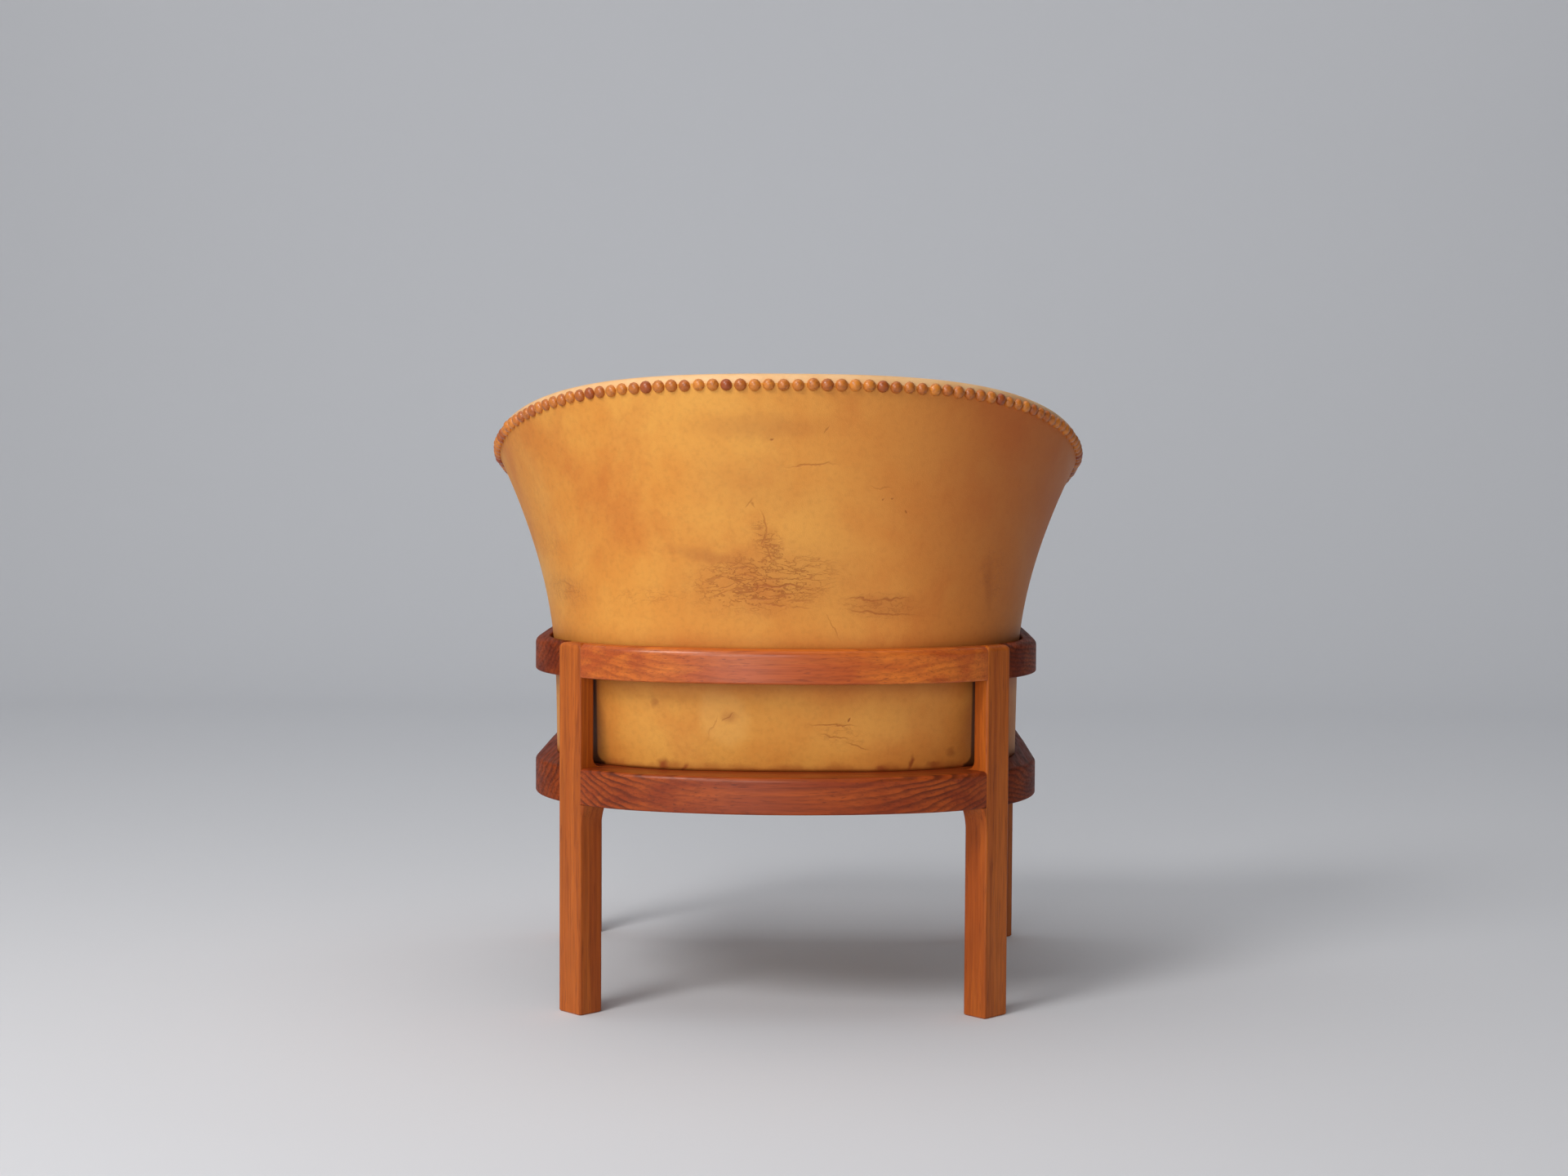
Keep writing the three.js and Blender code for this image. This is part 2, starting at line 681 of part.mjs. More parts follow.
function wallPanel({ outer, inner, inset, rounded, from }) {
  const radius = rounded ? (wallAtRim - 2 * inset) / 2 : 0;
  const insets = edgeInsets(inset, radius);
  const half = [
    ...wallAngles.map((a) => [a, (endAngle - a) * tubSideRadius]),
    ...insets.slice().reverse().map((run) => [endAngle - run / tubSideRadius, run]),
  ];
  const columns = [...half.slice(1).map(([a, run]) => [-a, run]).reverse(), ...half];
  const low = [from, frameTop, armRailTop];
  const high = [...bands, ...insets.slice().reverse()];
  const rows = low.length + wallMidShares.length + high.length;
  const rowDrop = (angle, row) => {
    const top = rimZ(angle);
    if (row < low.length) return top - low[row];
    const rest = row - low.length;
    if (rest < wallMidShares.length) return blend(top - armRailTop, bands[0], wallMidShares[rest]);
    return high[rest - wallMidShares.length];
  };
  const at = (column, row) => {
    const [angle, run] = columns[column];
    const drop = rowDrop(angle, row);
    const [front, down] = roundTheCorner(run, drop, armFrontRadius);
    const sign = angle < 0 ? -1 : 1;
    const turned = Math.abs(angle) > quarter ? sign * (endAngle - front / tubSideRadius) : angle;
    const z = rimZ(turned) - down;
    const fromEdge = Math.min(Math.min(run, drop) - inset, radius);
    const level = radius === 0 ? 1 : Math.sqrt(Math.max(1 - (1 - fromEdge / radius) ** 2, 0));
    const inwards = tubInward(turned, z);
    const base = tubPoint(turned, z);
    const depth = inner(turned, z);
    const middle = (outer + depth) / 2;
    const reach = ((depth - outer) / 2) * level;
    return [middle - reach, middle + reach].map((d) => base.clone().addScaledVector(inwards, d));
  };
  const positions = [];
  columns.forEach((_, c) => {
    for (let r = 0; r < rows; r += 1) {
      at(c, r).forEach((p) => positions.push(p.x, p.y, p.z));
    }
  });
  const v = (c, r, face) => (c * rows + r) * 2 + face;
  const index = [];
  const quad = (a, b, c, d) => index.push(a, b, c, a, c, d);
  for (let c = 0; c < columns.length - 1; c += 1) {
    for (let r = 0; r < rows - 1; r += 1) {
      quad(v(c, r, 0), v(c + 1, r, 0), v(c + 1, r + 1, 0), v(c, r + 1, 0));
      quad(v(c, r, 1), v(c, r + 1, 1), v(c + 1, r + 1, 1), v(c + 1, r, 1));
    }
    quad(v(c, 0, 0), v(c, 0, 1), v(c + 1, 0, 1), v(c + 1, 0, 0));
    quad(v(c, rows - 1, 0), v(c + 1, rows - 1, 0), v(c + 1, rows - 1, 1), v(c, rows - 1, 1));
  }
  const last = columns.length - 1;
  for (let r = 0; r < rows - 1; r += 1) {
    quad(v(0, r, 0), v(0, r + 1, 0), v(0, r + 1, 1), v(0, r, 1));
    quad(v(last, r, 0), v(last, r, 1), v(last, r + 1, 1), v(last, r + 1, 0));
  }
  const geometry = new THREE.BufferGeometry();
  geometry.setAttribute('position', new THREE.Float32BufferAttribute(positions, 3));
  geometry.setIndex(index);
  return toSolid(outward(geometry));
}

const shellOuter = leatherThickness + clearance;
const shellInner = shellOuter + shellThickness;
const paddingOuter = shellInner + clearance;

const outsideLeather = wallPanel({ outer: 0, inner: () => leatherThickness, inset: nailLineInset,
  rounded: false, from: footZ });
addPiece('outside_leather', outsideLeather, colours.leather);

const shell = wallPanel({ outer: shellOuter, inner: () => shellInner, inset: shellInset, rounded: false,
  from: footZ });
addPiece('tub_shell', shell, colours.ply);

const skin = leatherThickness + clearance;
const paddingBody = wallPanel({ outer: skin, inner: (a, z) => wallThickness(a, z) - skin, inset: skin,
  rounded: true, from: footZ });
const shellRoom = wallPanel({ outer: -overrun, inner: () => paddingOuter, inset: shellInset - clearance,
  rounded: false, from: footZ - overrun });
addPiece('inside_padding', paddingBody.subtract(shellRoom), colours.padding);

const tubBody = wallPanel({ outer: 0, inner: wallThickness, inset: 0, rounded: true, from: footZ });
const hollowInner = (a, z) => wallThickness(a, z) - leatherThickness;
const tubHollow = wallPanel({ outer: leatherThickness, inner: hollowInner, inset: leatherThickness,
  rounded: true, from: footZ - overrun });
const outsideRoom = wallPanel({ outer: -overrun, inner: () => leatherThickness + clearance / 2,
  inset: nailLineInset - clearance, rounded: false, from: footZ - overrun });
addPiece('inside_leather', tubBody.subtract(tubHollow).subtract(outsideRoom), colours.innerLeather);

// Seat frame: bearers that stand on the seat rails inside the leathered tub
const frameFrontY = railFrontY + seatFrontInset;

// A bar along the wall's inner face, between two directions
function wallBar(from, to, depth, width, bottom, top) {
  const inner = [...wallAngles.map((a) => -a), ...wallAngles].filter((a) => a > from && a < to);
  const angles = [...new Set([from, ...inner, to])].sort((a, b) => a - b);
  const corner = (angle, z, extra) => innerFace(angle, z, depth + extra);
  const sections = angles.map((a) => [
    corner(a, bottom, 0), corner(a, top, 0), corner(a, top, width), corner(a, bottom, width),
  ]);
  return toSolid(loft(sections));
}

const sideFrom = railAngles[steps.rearArc + steps.corner / 2];
const jointTurn = kerf / 2 / footCornerRadius;
addPiece('seat_frame_rear', wallBar(-sideFrom + jointTurn, sideFrom - jointTurn, clearance, bearerWidth,
  footZ, frameTop), colours.beech);

// Corners of the seat frame are notched round the front legs
const frontLegRoom = inChair('front', legRoom('front'));
const bothLegRooms = frontLegRoom.add(mirrored(frontLegRoom));

// The side bearers run on past the arms' fronts, square, to the front bearer
const sideEnd = tubPoint(endAngle, footZ);
const sideEndX = sideEnd.x - wallThickness(endAngle, footZ) - clearance;
const sideBearer = wallBar(sideFrom + jointTurn, endAngle, clearance, bearerWidth, footZ, frameTop)
  .add(boxSolid(sideEndX - bearerWidth, sideEndX, frameFrontY + bearerWidth + clearance, tubFrontY + overrun,
    footZ, frameTop))
  .subtract(frontLegRoom);
addPiece('seat_frame_left', sideBearer, colours.beech);
addPiece('seat_frame_right', mirrored(sideBearer), colours.beech);
const frontBearer = boxSolid(-sideEndX, sideEndX, frameFrontY, frameFrontY + bearerWidth, footZ, frameTop);
addPiece('seat_frame_front', frontBearer.subtract(bothLegRooms), colours.beech);

// Outline of what lies inside the tub: the wall's inner face at a height, then on between the front legs
function seatOutline(z, gap, frontY, radius) {
  const side = [...wallAngles, endAngle]
    .map((a) => innerFace(a, z, gap))
    .map((p) => new THREE.Vector2(p.x, p.y));
  const last = side.at(-1);
  const turn = new THREE.Vector2(last.x - radius, frontY + radius);
  const round = [0, 1, 2, 3, 4].map((k) => new THREE.Vector2(
    turn.x + radius * Math.cos((k * eighth) / 2), turn.y - radius * Math.sin((k * eighth) / 2)));
  const half = [...side, ...round];
  return [...half, ...half.slice(1).reverse().map((p) => new THREE.Vector2(-p.x, p.y))];
}

function slab(outline, bottom, top) {
  return toSolid(new THREE.ExtrudeGeometry(new THREE.Shape(outline.slice().reverse()), { depth: top - bottom,
    bevelEnabled: false })).translate([0, 0, bottom]);
}

// Webbing: straps cross over and under each other, and lie on the bearers at both ends
const webBottom = frameTop + clearance;
const webPitchRise = webbingThickness + clearance;
const seatMiddleGap = clearance + overrun;

function widthAt(y) {
  const outline = seatOutline(webBottom, seatMiddleGap, frameFrontY, seatCornerRadius);
  const half = outline.slice(0, outline.length / 2 + 1);
  for (let k = 1; k < half.length; k += 1) {
    const [a, b] = [half[k - 1], half[k]];
    if (a.y >= y && b.y <= y && a.y > b.y) return a.x + ((b.x - a.x) * (a.y - y)) / (a.y - b.y);
  }
  return 0;
}

function depthAt(x) {
  const outline = seatOutline(webBottom, seatMiddleGap, frameFrontY, seatCornerRadius);
  for (let k = 1; k <= outline.length; k += 1) {
    const [a, b] = [outline[k - 1], outline[k % outline.length]];
    if (a.x <= x && b.x >= x && b.x > a.x) return a.y + ((b.y - a.y) * (x - a.x)) / (b.x - a.x);
  }
  return 0;
}

// A strap's middle line rises and falls by half a turn of a cosine from one crossing to the next
function strap(from, to, place, along, crossings, phase) {
  const cut = [from, ...crossings.flatMap((c) => [c - webbingWidth / 2, c + webbingWidth / 2]), to];
  const stations = [...new Set(cut)].filter((s) => s >= from && s <= to).sort((a, b) => a - b);
  const lift = (s) => {
    const near = crossings.findIndex((c) => Math.abs(s - c) <= webbingWidth / 2 + overrun / 2);
    if (near < 0) return webPitchRise / 2;
    return (near + phase) % 2 === 0 ? webPitchRise : 0;
  };
  const sections = stations.map((s) => {
    const low = webBottom + (s === from || s === to ? 0 : lift(s));
    const high = low + webbingThickness;
    return [[-1, low], [1, low], [1, high], [-1, high]].map(([sign, z]) => {
      const side = place + (sign * webbingWidth) / 2;
      return along === 'x' ? new THREE.Vector3(s, side, z) : new THREE.Vector3(side, s, z);
    });
  });
  return toSolid(loft(sections));
}

const webFrontY = frameFrontY + bearerWidth * webLapShare;
const webRearY = depthAt(webbingWidth / 2);
const crossPitch = (webRearY - webFrontY - webbingWidth) / crossStrapCount;
const crossPlaces = Array.from({ length: crossStrapCount },
  (_, k) => webFrontY + webbingWidth / 2 + webbingWidth * webFirstShare + k * crossPitch);
const longPitch = (2 * (sideEndX - bearerWidth)) / longStrapCount;
const longPlaces = Array.from({ length: longStrapCount },
  (_, k) => (k - (longStrapCount - 1) / 2) * longPitch);

crossPlaces.forEach((y, k) => {
  const reach = Math.min(widthAt(y + webbingWidth / 2), widthAt(y - webbingWidth / 2));
  addPiece(`cross_webbing_${k + 1}`, strap(-reach, reach, y, 'x', longPlaces, k), colours.jute);
});
longPlaces.forEach((x, k) => {
  const rear = depthAt(-Math.abs(x) - webbingWidth / 2);
  addPiece(`long_webbing_${k + 1}`, strap(webFrontY, rear, x, 'y', crossPlaces, k + 1), colours.jute);
});

// Hessian and a thin stuffed pad lie over the webbing
const hessianBottom = webBottom + webPitchRise + webbingThickness + clearance;
const hessianTop = hessianBottom + hessianThickness;
const hessianOutline = seatOutline(hessianBottom, deckGap, frameFrontY, seatCornerRadius);
addPiece('hessian', slab(hessianOutline, hessianBottom, hessianTop), colours.jute);

const padBottom = hessianTop + clearance;
const padTop = padBottom + padThickness;
const padOutline = seatOutline(padBottom, deckGap, frameFrontY, seatCornerRadius);
addPiece('seat_pad', slab(padOutline, padBottom, padTop), colours.padding);

// Leather border: rises over the front bearer and the pad's front, and laps over the pad
function borderSolid() {
  const outerY = frameFrontY - clearance - leatherThickness;
  const top = padTop + clearance + leatherThickness;
  const back = frameFrontY + borderLap;
  const shape = new THREE.Shape();
  shape.moveTo(outerY, footZ);
  shape.absarc(outerY + borderRound, top - borderRound, borderRound, Math.PI, quarter, true);
  shape.lineTo(back, top);
  shape.lineTo(back, top - leatherThickness);
  shape.lineTo(outerY + leatherThickness, top - leatherThickness);
  shape.lineTo(outerY + leatherThickness, footZ);
  shape.closePath();
  return alongX(shape, -sideEndX, sideEndX).subtract(bothLegRooms);
}
addPiece('seat_border_leather', borderSolid(), colours.leather);

// Loose cushion: drawn-in sides between two seams, and a crown above and below
function cushionSolid() {
  const bottom = padTop + clearance;
  const outline = seatOutline(bottom, cushionGap, frameFrontY, seatCornerRadius);
  const middleY = (outline[0].y + frameFrontY) / 2;
  const ring = (share, z, inset) => outline.map((p) => {
    const q = new THREE.Vector2(p.x, p.y - middleY);
    const length = q.length();
    q.multiplyScalar((share * (length - inset)) / length);
    return new THREE.Vector3(q.x, q.y + middleY, z);
  });
  const lowSeam = bottom + cushionUnderCrown;
  const highSeam = lowSeam + cushionSide;
  const rings = [];
  crownShares.slice().reverse().forEach((share) => {
    rings.push(ring(share, lowSeam - cushionUnderCrown * (1 - share ** crownPowerShare), cushionDrawIn));
  });
  drawInShares.forEach((share, k) => {
    const height = (k + 1) / (drawInShares.length + 1);
    rings.push(ring(1, blend(lowSeam, highSeam, height), cushionDrawIn * share));
  });
  crownShares.forEach((share) => {
    rings.push(ring(share, highSeam + cushionCrown * (1 - share ** crownPowerShare), cushionDrawIn));
  });
  return toSolid(loft(rings));
}
addPiece('seat_cushion', cushionSolid(), colours.innerLeather);

// The origin is on the floor, in the middle of the chair's length and width
const reachOfChair = new THREE.Box3().setFromObject(chair);
chair.position.y = -(reachOfChair.min.y + reachOfChair.max.y) / 2;

export default chair;
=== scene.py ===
"""Leather tub armchair on a bowed timber frame, seen from behind: the visual model.

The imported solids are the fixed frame. Each piece that shows is worked out again as a fine surface, in
metres, from the same plan curves. A plan curve is written by the direction that it faces: 0 is the rear,
a quarter turn is the side, and half a turn is the front.
"""
import math

import bmesh
import bpy
import numpy as np
from mathutils import Matrix, Vector


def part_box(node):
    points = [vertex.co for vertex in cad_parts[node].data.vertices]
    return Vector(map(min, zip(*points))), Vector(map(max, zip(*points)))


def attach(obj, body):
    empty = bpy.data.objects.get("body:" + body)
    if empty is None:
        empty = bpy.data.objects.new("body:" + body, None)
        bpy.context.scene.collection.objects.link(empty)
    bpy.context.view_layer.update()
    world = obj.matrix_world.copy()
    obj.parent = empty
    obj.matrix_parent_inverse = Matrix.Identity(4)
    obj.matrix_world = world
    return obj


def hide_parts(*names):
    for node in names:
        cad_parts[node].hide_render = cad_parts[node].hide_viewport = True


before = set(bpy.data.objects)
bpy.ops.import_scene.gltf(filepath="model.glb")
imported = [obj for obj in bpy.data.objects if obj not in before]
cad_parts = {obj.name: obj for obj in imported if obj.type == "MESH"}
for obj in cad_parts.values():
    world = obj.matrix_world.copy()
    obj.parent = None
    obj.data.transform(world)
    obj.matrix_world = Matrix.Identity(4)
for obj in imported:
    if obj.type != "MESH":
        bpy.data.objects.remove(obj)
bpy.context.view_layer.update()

# Legs
# Four posts of straight-grained hardwood, turned 45 degrees so that an arris points out, with the rails
# joined into them. They swell to a knee under the seat rail, and above it they are relieved on the inside
# in a cove, to make room for the tub.
MM = 0.001
QUARTER, EIGHTH = math.pi / 2, math.pi / 4
CLEAR = 0.3 * MM
LEG_WIDTH, LEG_DEPTH, RELIEF_DEPTH, ARRIS_LEAD = 38.4 * MM, 32.6 * MM, 20.4 * MM, 9.2 * MM
SEAT_TOP, SEAT_BOTTOM = 281.5 * MM, (281.5 - 41.4) * MM
ARM_TOP, ARM_BOTTOM = 422.8 * MM, (422.8 - 38.9) * MM
TOP_ROUND, COVE_RADIUS, EDGE_ROUND, FOOT_CHAMFER = 6.5 * MM, 10 * MM, 2.5 * MM, 1.5 * MM
KNEE_REACH, KNEE_HEIGHT, KNEE_POWER = 7.5 * MM, 30 * MM, 2.2
RAIL_REAR, REAR_BOW, REAR_CORNER = 64.6 * MM, 507 * MM, 205 * MM
HALF_WIDTH, SIDE_RADIUS, WIDEST_Y = 297.8 * MM, 14000 * MM, -415 * MM
RAIL_FRONT, FRONT_BOW, FRONT_TURN = -520 * MM, 3400 * MM, 45 * MM
CREASE = 0.6


def circles_meet(a, radius_a, b, radius_b, prefer):
    """The crossing of two circles that lies furthest along the direction prefer."""
    across = b - a
    length = np.hypot(*across)
    along = (radius_a**2 - radius_b**2 + length**2) / (2 * length)
    aside = math.sqrt(max(radius_a**2 - along**2, 0))
    foot = a + across * along / length
    normal = np.array([-across[1], across[0]]) / length
    return max((foot + normal * aside, foot - normal * aside), key=lambda p: p @ prefer)


def facing(centre, point):
    """The direction from centre to point: the angle off +Y, towards +X."""
    return math.atan2(*(point - centre))


def plan_curve(rear_y, rear_radius, corner_radius, half_width, side_radius, widest_y, front=None):
    """One curve of arcs that meet in common tangents: a bow at the rear, a round corner, a nearly
    straight side and, where front gives them, a tight corner and a bow. Rows of centre x, centre y,
    radius, last direction."""
    rear = np.array([0, rear_y - rear_radius])
    side = np.array([half_width - side_radius, widest_y])
    corner = circles_meet(
        rear, rear_radius - corner_radius, side, side_radius - corner_radius, np.array([1, 1])
    )
    arcs = [[*rear, rear_radius, facing(rear, corner)], [*corner, corner_radius, facing(side, corner)]]
    if front is None:
        return np.array(arcs + [[*side, side_radius, math.pi]])
    front_y, front_radius, turn_radius = front
    fore = np.array([0, front_y + front_radius])
    turn = circles_meet(side, side_radius - turn_radius, fore, front_radius - turn_radius, np.array([1, -1]))
    arcs += [[*side, side_radius, facing(side, turn)], [*turn, turn_radius, facing(fore, turn)]]
    return np.array(arcs + [[*fore, front_radius, math.pi]])


def on_plan(arcs, angle, inset=0.0):
    """Points of a plan curve moved in by inset: centre plus (radius - inset)(sin, cos) of the angle."""
    angle, inset = np.broadcast_arrays(np.asarray(angle, float), np.asarray(inset, float))
    turn = np.abs(angle)
    row = np.minimum(np.searchsorted(arcs[:, 3], turn.ravel()), len(arcs) - 1).reshape(turn.shape)
    reach = arcs[row, 2] - inset
    x = arcs[row, 0] + reach * np.sin(turn)
    y = arcs[row, 1] + reach * np.cos(turn)
    return np.where(angle < 0, -x, x), y


# The curves start at the rear arrises of the legs, and the frame's own rear rail says where these stand
ORIGIN_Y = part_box("rear_seat_rail")[1].y - RAIL_REAR
rail_arcs = plan_curve(
    RAIL_REAR, REAR_BOW, REAR_CORNER, HALF_WIDTH, SIDE_RADIUS, WIDEST_Y, (RAIL_FRONT, FRONT_BOW, FRONT_TURN)
)


def grid_faces(rows, columns, closed_rows=False, closed_columns=False):
    """Quads of a grid of points stored row by row."""
    r = np.arange(rows if closed_rows else rows - 1)[:, None]
    c = np.arange(columns if closed_columns else columns - 1)[None, :]
    r1, c1 = (r + 1) % rows, (c + 1) % columns
    corners = (r * columns + c, r * columns + c1, r1 * columns + c1, r1 * columns + c)
    return np.stack(np.broadcast_arrays(*corners), -1).reshape(-1, 4)


def reworked(mesh, change):
    """Puts a mesh through one of the mesh tools."""
    work = bmesh.new()
    work.from_mesh(mesh)
    change(work)
    work.to_mesh(mesh)
    work.free()


def point_out(mesh):
    """Turns the faces of a closed mesh outwards."""
    reworked(mesh, lambda work: bmesh.ops.recalc_face_normals(work, faces=work.faces))


def mesh_object(name, points, faces, uv=None, caps=(), sharp=CREASE, closed=True):
    """An object at the origin, smooth but for the edges where two faces turn by more than sharp."""
    mesh = bpy.data.meshes.new(name)
    points = np.asarray(points, float).reshape(-1, 3) + np.array([0, ORIGIN_Y, 0])
    mesh.from_pydata(points.tolist(), [], [list(map(int, face)) for part in (faces, caps) for face in part])
    if uv is not None:
        layer = mesh.uv_layers.new(name="along")
        corners = np.zeros(len(mesh.loops), np.int32)
        mesh.loops.foreach_get("vertex_index", corners)
        layer.data.foreach_set("uv", np.asarray(uv, np.float32).reshape(-1, 2)[corners].ravel())
    piece = bpy.data.objects.new(name, mesh)
    bpy.context.scene.collection.objects.link(piece)
    if closed:
        point_out(mesh)
    mesh.shade_smooth()
    mesh.set_sharp_from_angle(angle=sharp)
    return piece


def end_caps(rows, columns, first=0):
    """The first and the last ring of a lofted form as its two end faces."""
    last = first + (rows - 1) * columns
    return [range(first, first + columns), range(last, last + columns)]


def lofted(name, points):
    """A closed section carried along: rings of points joined by quads and closed at both ends."""
    rows, columns = points.shape[:2]
    return mesh_object(
        name, points, grid_faces(rows, columns, closed_columns=True), caps=end_caps(rows, columns)
    )


def settle(piece, material, body, *nodes, slot=None):
    """Gives a finished piece its material, the body it rides on and the solids it stands for."""
    piece.data.materials.clear()
    piece.data.materials.append(material)
    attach(piece, body)
    if nodes:
        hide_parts(*nodes)
    return piece


class Finish:
    """A procedural material on Object coordinates. Each call adds a node and hands back its output."""

    def __init__(self, name, roughness=0.5, **constants):
        self.material = bpy.data.materials.new(name)
        self.material.use_nodes = True
        self.tree = self.material.node_tree
        self.shader = self.tree.nodes["Principled BSDF"]
        self.shader.inputs["Roughness"].default_value = roughness
        for socket, value in constants.items():
            self.shader.inputs[socket.replace("_", " ")].default_value = value
        self.place = self.node("TexCoord").outputs["Object"]

    def node(self, kind, settings=(), **inputs):
        """Adds a node, and links or sets its inputs, which go by name or as i and a number."""
        made = self.tree.nodes.new("ShaderNode" + kind)
        for key, value in dict(settings).items():
            setattr(made, key, value)
        for key, value in inputs.items():
            socket = made.inputs[int(key[1:]) if key[1:].isdigit() else key.replace("_", " ")]
            if isinstance(value, bpy.types.NodeSocket):
                self.tree.links.new(value, socket)
            else:
                socket.default_value = value
        return made

    def noise(self, scale, stretch=(1, 1, 1), detail=4.0, rough=0.55, warp=0.0, move=(0, 0, 0)):
        """The noise at the place times stretch, plus move. A small stretch draws it out along that axis."""
        where = self.node("Mapping", Vector=self.place, Scale=tuple(stretch), Location=move).outputs[0]
        settings = {"Scale": scale, "Detail": detail, "Roughness": rough, "Distortion": warp}
        return self.node("TexNoise", Vector=where, **settings).outputs[0]

    def math(self, what, a, b=0.0, c=0.0):
        """What the named sum makes of one, two or three values."""
        return self.node("Math", {"operation": what}, i0=a, i1=b, i2=c).outputs[0]

    def times(self, a, b):
        """The product of two values."""
        return self.math("MULTIPLY", a, b)

    def vector(self, what, a, b, c=(0, 0, 0)):
        """What the named sum makes of two or three vectors."""
        return self.node("VectorMath", {"operation": what}, i0=a, i1=b, i2=c).outputs[0]

    def span(self, value, low, high, to_low=0.0, to_high=1.0):
        """to_low up to low, to_high from high on, and eased from one to the other between."""
        smooth = {"interpolation_type": "SMOOTHSTEP"}
        return self.node("MapRange", smooth, i0=value, i1=low, i2=high, i3=to_low, i4=to_high).outputs[0]

    def mix(self, share, a, b):
        """The colour a at share 0 and b at share 1, and a straight blend between."""
        made = self.node("Mix", {"data_type": "RGBA"}, i0=share)
        for index, value in ((6, a), (7, b)):
            if isinstance(value, bpy.types.NodeSocket):
                self.tree.links.new(value, made.inputs[index])
            else:
                made.inputs[index].default_value = (*value, 1)
        return made.outputs[2]

    def split(self, source=None):
        """The x, y and z of a vector, or else of the place."""
        return self.node("SeparateXYZ", Vector=source or self.place).outputs

    def finish(self, colour, roughness=None, height=None, depth=0.0005):
        """Links colour, roughness and a bump whose depth is in metres."""
        self.tree.links.new(colour, self.shader.inputs["Base Color"])
        if roughness is not None:
            self.tree.links.new(roughness, self.shader.inputs["Roughness"])
        if height is not None:
            bump = self.node("Bump", Strength=1.0, Distance=depth, Height=height)
            self.tree.links.new(bump.outputs[0], self.shader.inputs["Normal"])
        return self.material


def tone(red, green, blue):
    """A colour written in display values from 0 to 255, as the shader's linear values."""
    shares = np.array([red, green, blue]) / 255
    return tuple(np.where(shares <= 0.04045, shares / 12.92, ((shares + 0.055) / 1.055) ** 2.4).tolist())


def timber(name, along, light, mid, dark, ring_width, ring_strength, lean=(0, 0), rough=0.42, ends=None,
           gloss=0.1, sheen=0.22):
    """Oiled hardwood. Growth rings are cylinders about a far axis that runs along the board, wavered by
    noise and unevenly wide. Fine fibres and pores are noise drawn out along the same axis. Where a bowed
    board's face cuts across the grain, between the two distances from its middle in ends, the rings show
    up darker."""
    wood = Finish(name, rough, Specular_IOR_Level=sheen, Coat_Weight=gloss, Coat_Roughness=0.22)
    axis = "xyz".index(along)
    drawn, slow = np.ones(3), np.ones(3)
    drawn[axis], slow[axis] = 0.04, 0.14
    waver = wood.noise(9, drawn, detail=3)
    swirl = wood.noise(42, slow, detail=2, move=(2, 5, 1))
    place = wood.split()
    first, second = (
        wood.math("POWER", wood.math("ADD", place[k], move), 2.0)
        for k, move in zip([k for k in range(3) if k != axis], lean)
    )
    radius = wood.math("SQRT", wood.math("ADD", first, second))
    wavered = wood.math("MULTIPLY_ADD", waver, 0.03, radius)
    wavered = wood.math("MULTIPLY_ADD", swirl, 0.011, wavered)
    rings = wood.math("FRACT", wood.math("DIVIDE", wavered, ring_width))
    late = wood.times(wood.span(rings, 0.25, 0.85), wood.span(rings, 0.85, 1.0, 1.0, 0.0))
    uneven = wood.span(wood.noise(16, slow, detail=3, move=(7, 1, 3)), 0.35, 0.65, 0.35, 1.15)
    fibres = wood.noise(420, drawn, detail=2, rough=0.6)
    streaks = wood.noise(70, drawn, detail=3)
    broad = wood.noise(30, drawn * 1.4, detail=3, warp=0.5)
    pores = wood.span(wood.noise(900, drawn * 0.9, detail=1), 0.62, 0.72)
    colour = wood.mix(wood.span(broad, 0.36, 0.64), light, mid)
    colour = wood.mix(wood.times(wood.span(streaks, 0.35, 0.75), 0.5), colour, mid)
    strength = ring_strength
    if ends:
        outward = wood.math("ABSOLUTE", place[axis])
        strength = wood.span(outward, *ends, ring_strength, min(ring_strength * 2.6, 0.85))
    colour = wood.mix(wood.times(late, wood.times(uneven, strength)), colour, dark)
    colour = wood.mix(wood.times(wood.span(fibres, 0.42, 0.72), 0.3), colour, dark)
    colour = wood.mix(wood.times(pores, 0.45), colour, dark)
    roughness = wood.span(fibres, 0.3, 0.8, rough - 0.04, rough + 0.12)
    height = wood.math("SUBTRACT", wood.times(fibres, 0.3), wood.times(pores, 0.7))
    return wood.finish(colour, roughness, height, 0.00012)


def rounded_outline(low_x, high_x, low_y, high_y, radius, arc_steps=4):
    """Points round a rectangle with round corners, with one more point beside each arc to keep the flats
    flat. All arguments may be arrays of shape (n, 1): one outline for each height."""
    bits = []
    hold = 0.25 * MM
    for k, (x, y) in enumerate(((high_x, high_y), (low_x, high_y), (low_x, low_y), (high_x, low_y))):
        turn = k * QUARTER + np.linspace(0, QUARTER, arc_steps + 1)
        cx = x - radius * (1 if x is high_x else -1)
        cy = y - radius * (1 if y is high_y else -1)
        px, py = cx + radius * np.cos(turn), cy + radius * np.sin(turn)
        before = np.array([-math.sin(turn[0]), math.cos(turn[0])]) * -hold
        after = np.array([-math.sin(turn[-1]), math.cos(turn[-1])]) * hold
        bits += [
            np.stack([px[:, :1] + before[0], py[:, :1] + before[1]], -1),
            np.stack([px, py], -1),
            np.stack([px[:, -1:] + after[0], py[:, -1:] + after[1]], -1),
        ]
    return np.concatenate(bits, 1)


def from_leg(angle, x, y):
    """Points in a leg's own frame, x along the rail and y out of the chair, as x and y of the chair."""
    x0, y0 = on_plan(rail_arcs, angle)
    return x0 + x * math.cos(angle) + y * math.sin(angle), y0 - x * math.sin(angle) + y * math.cos(angle)


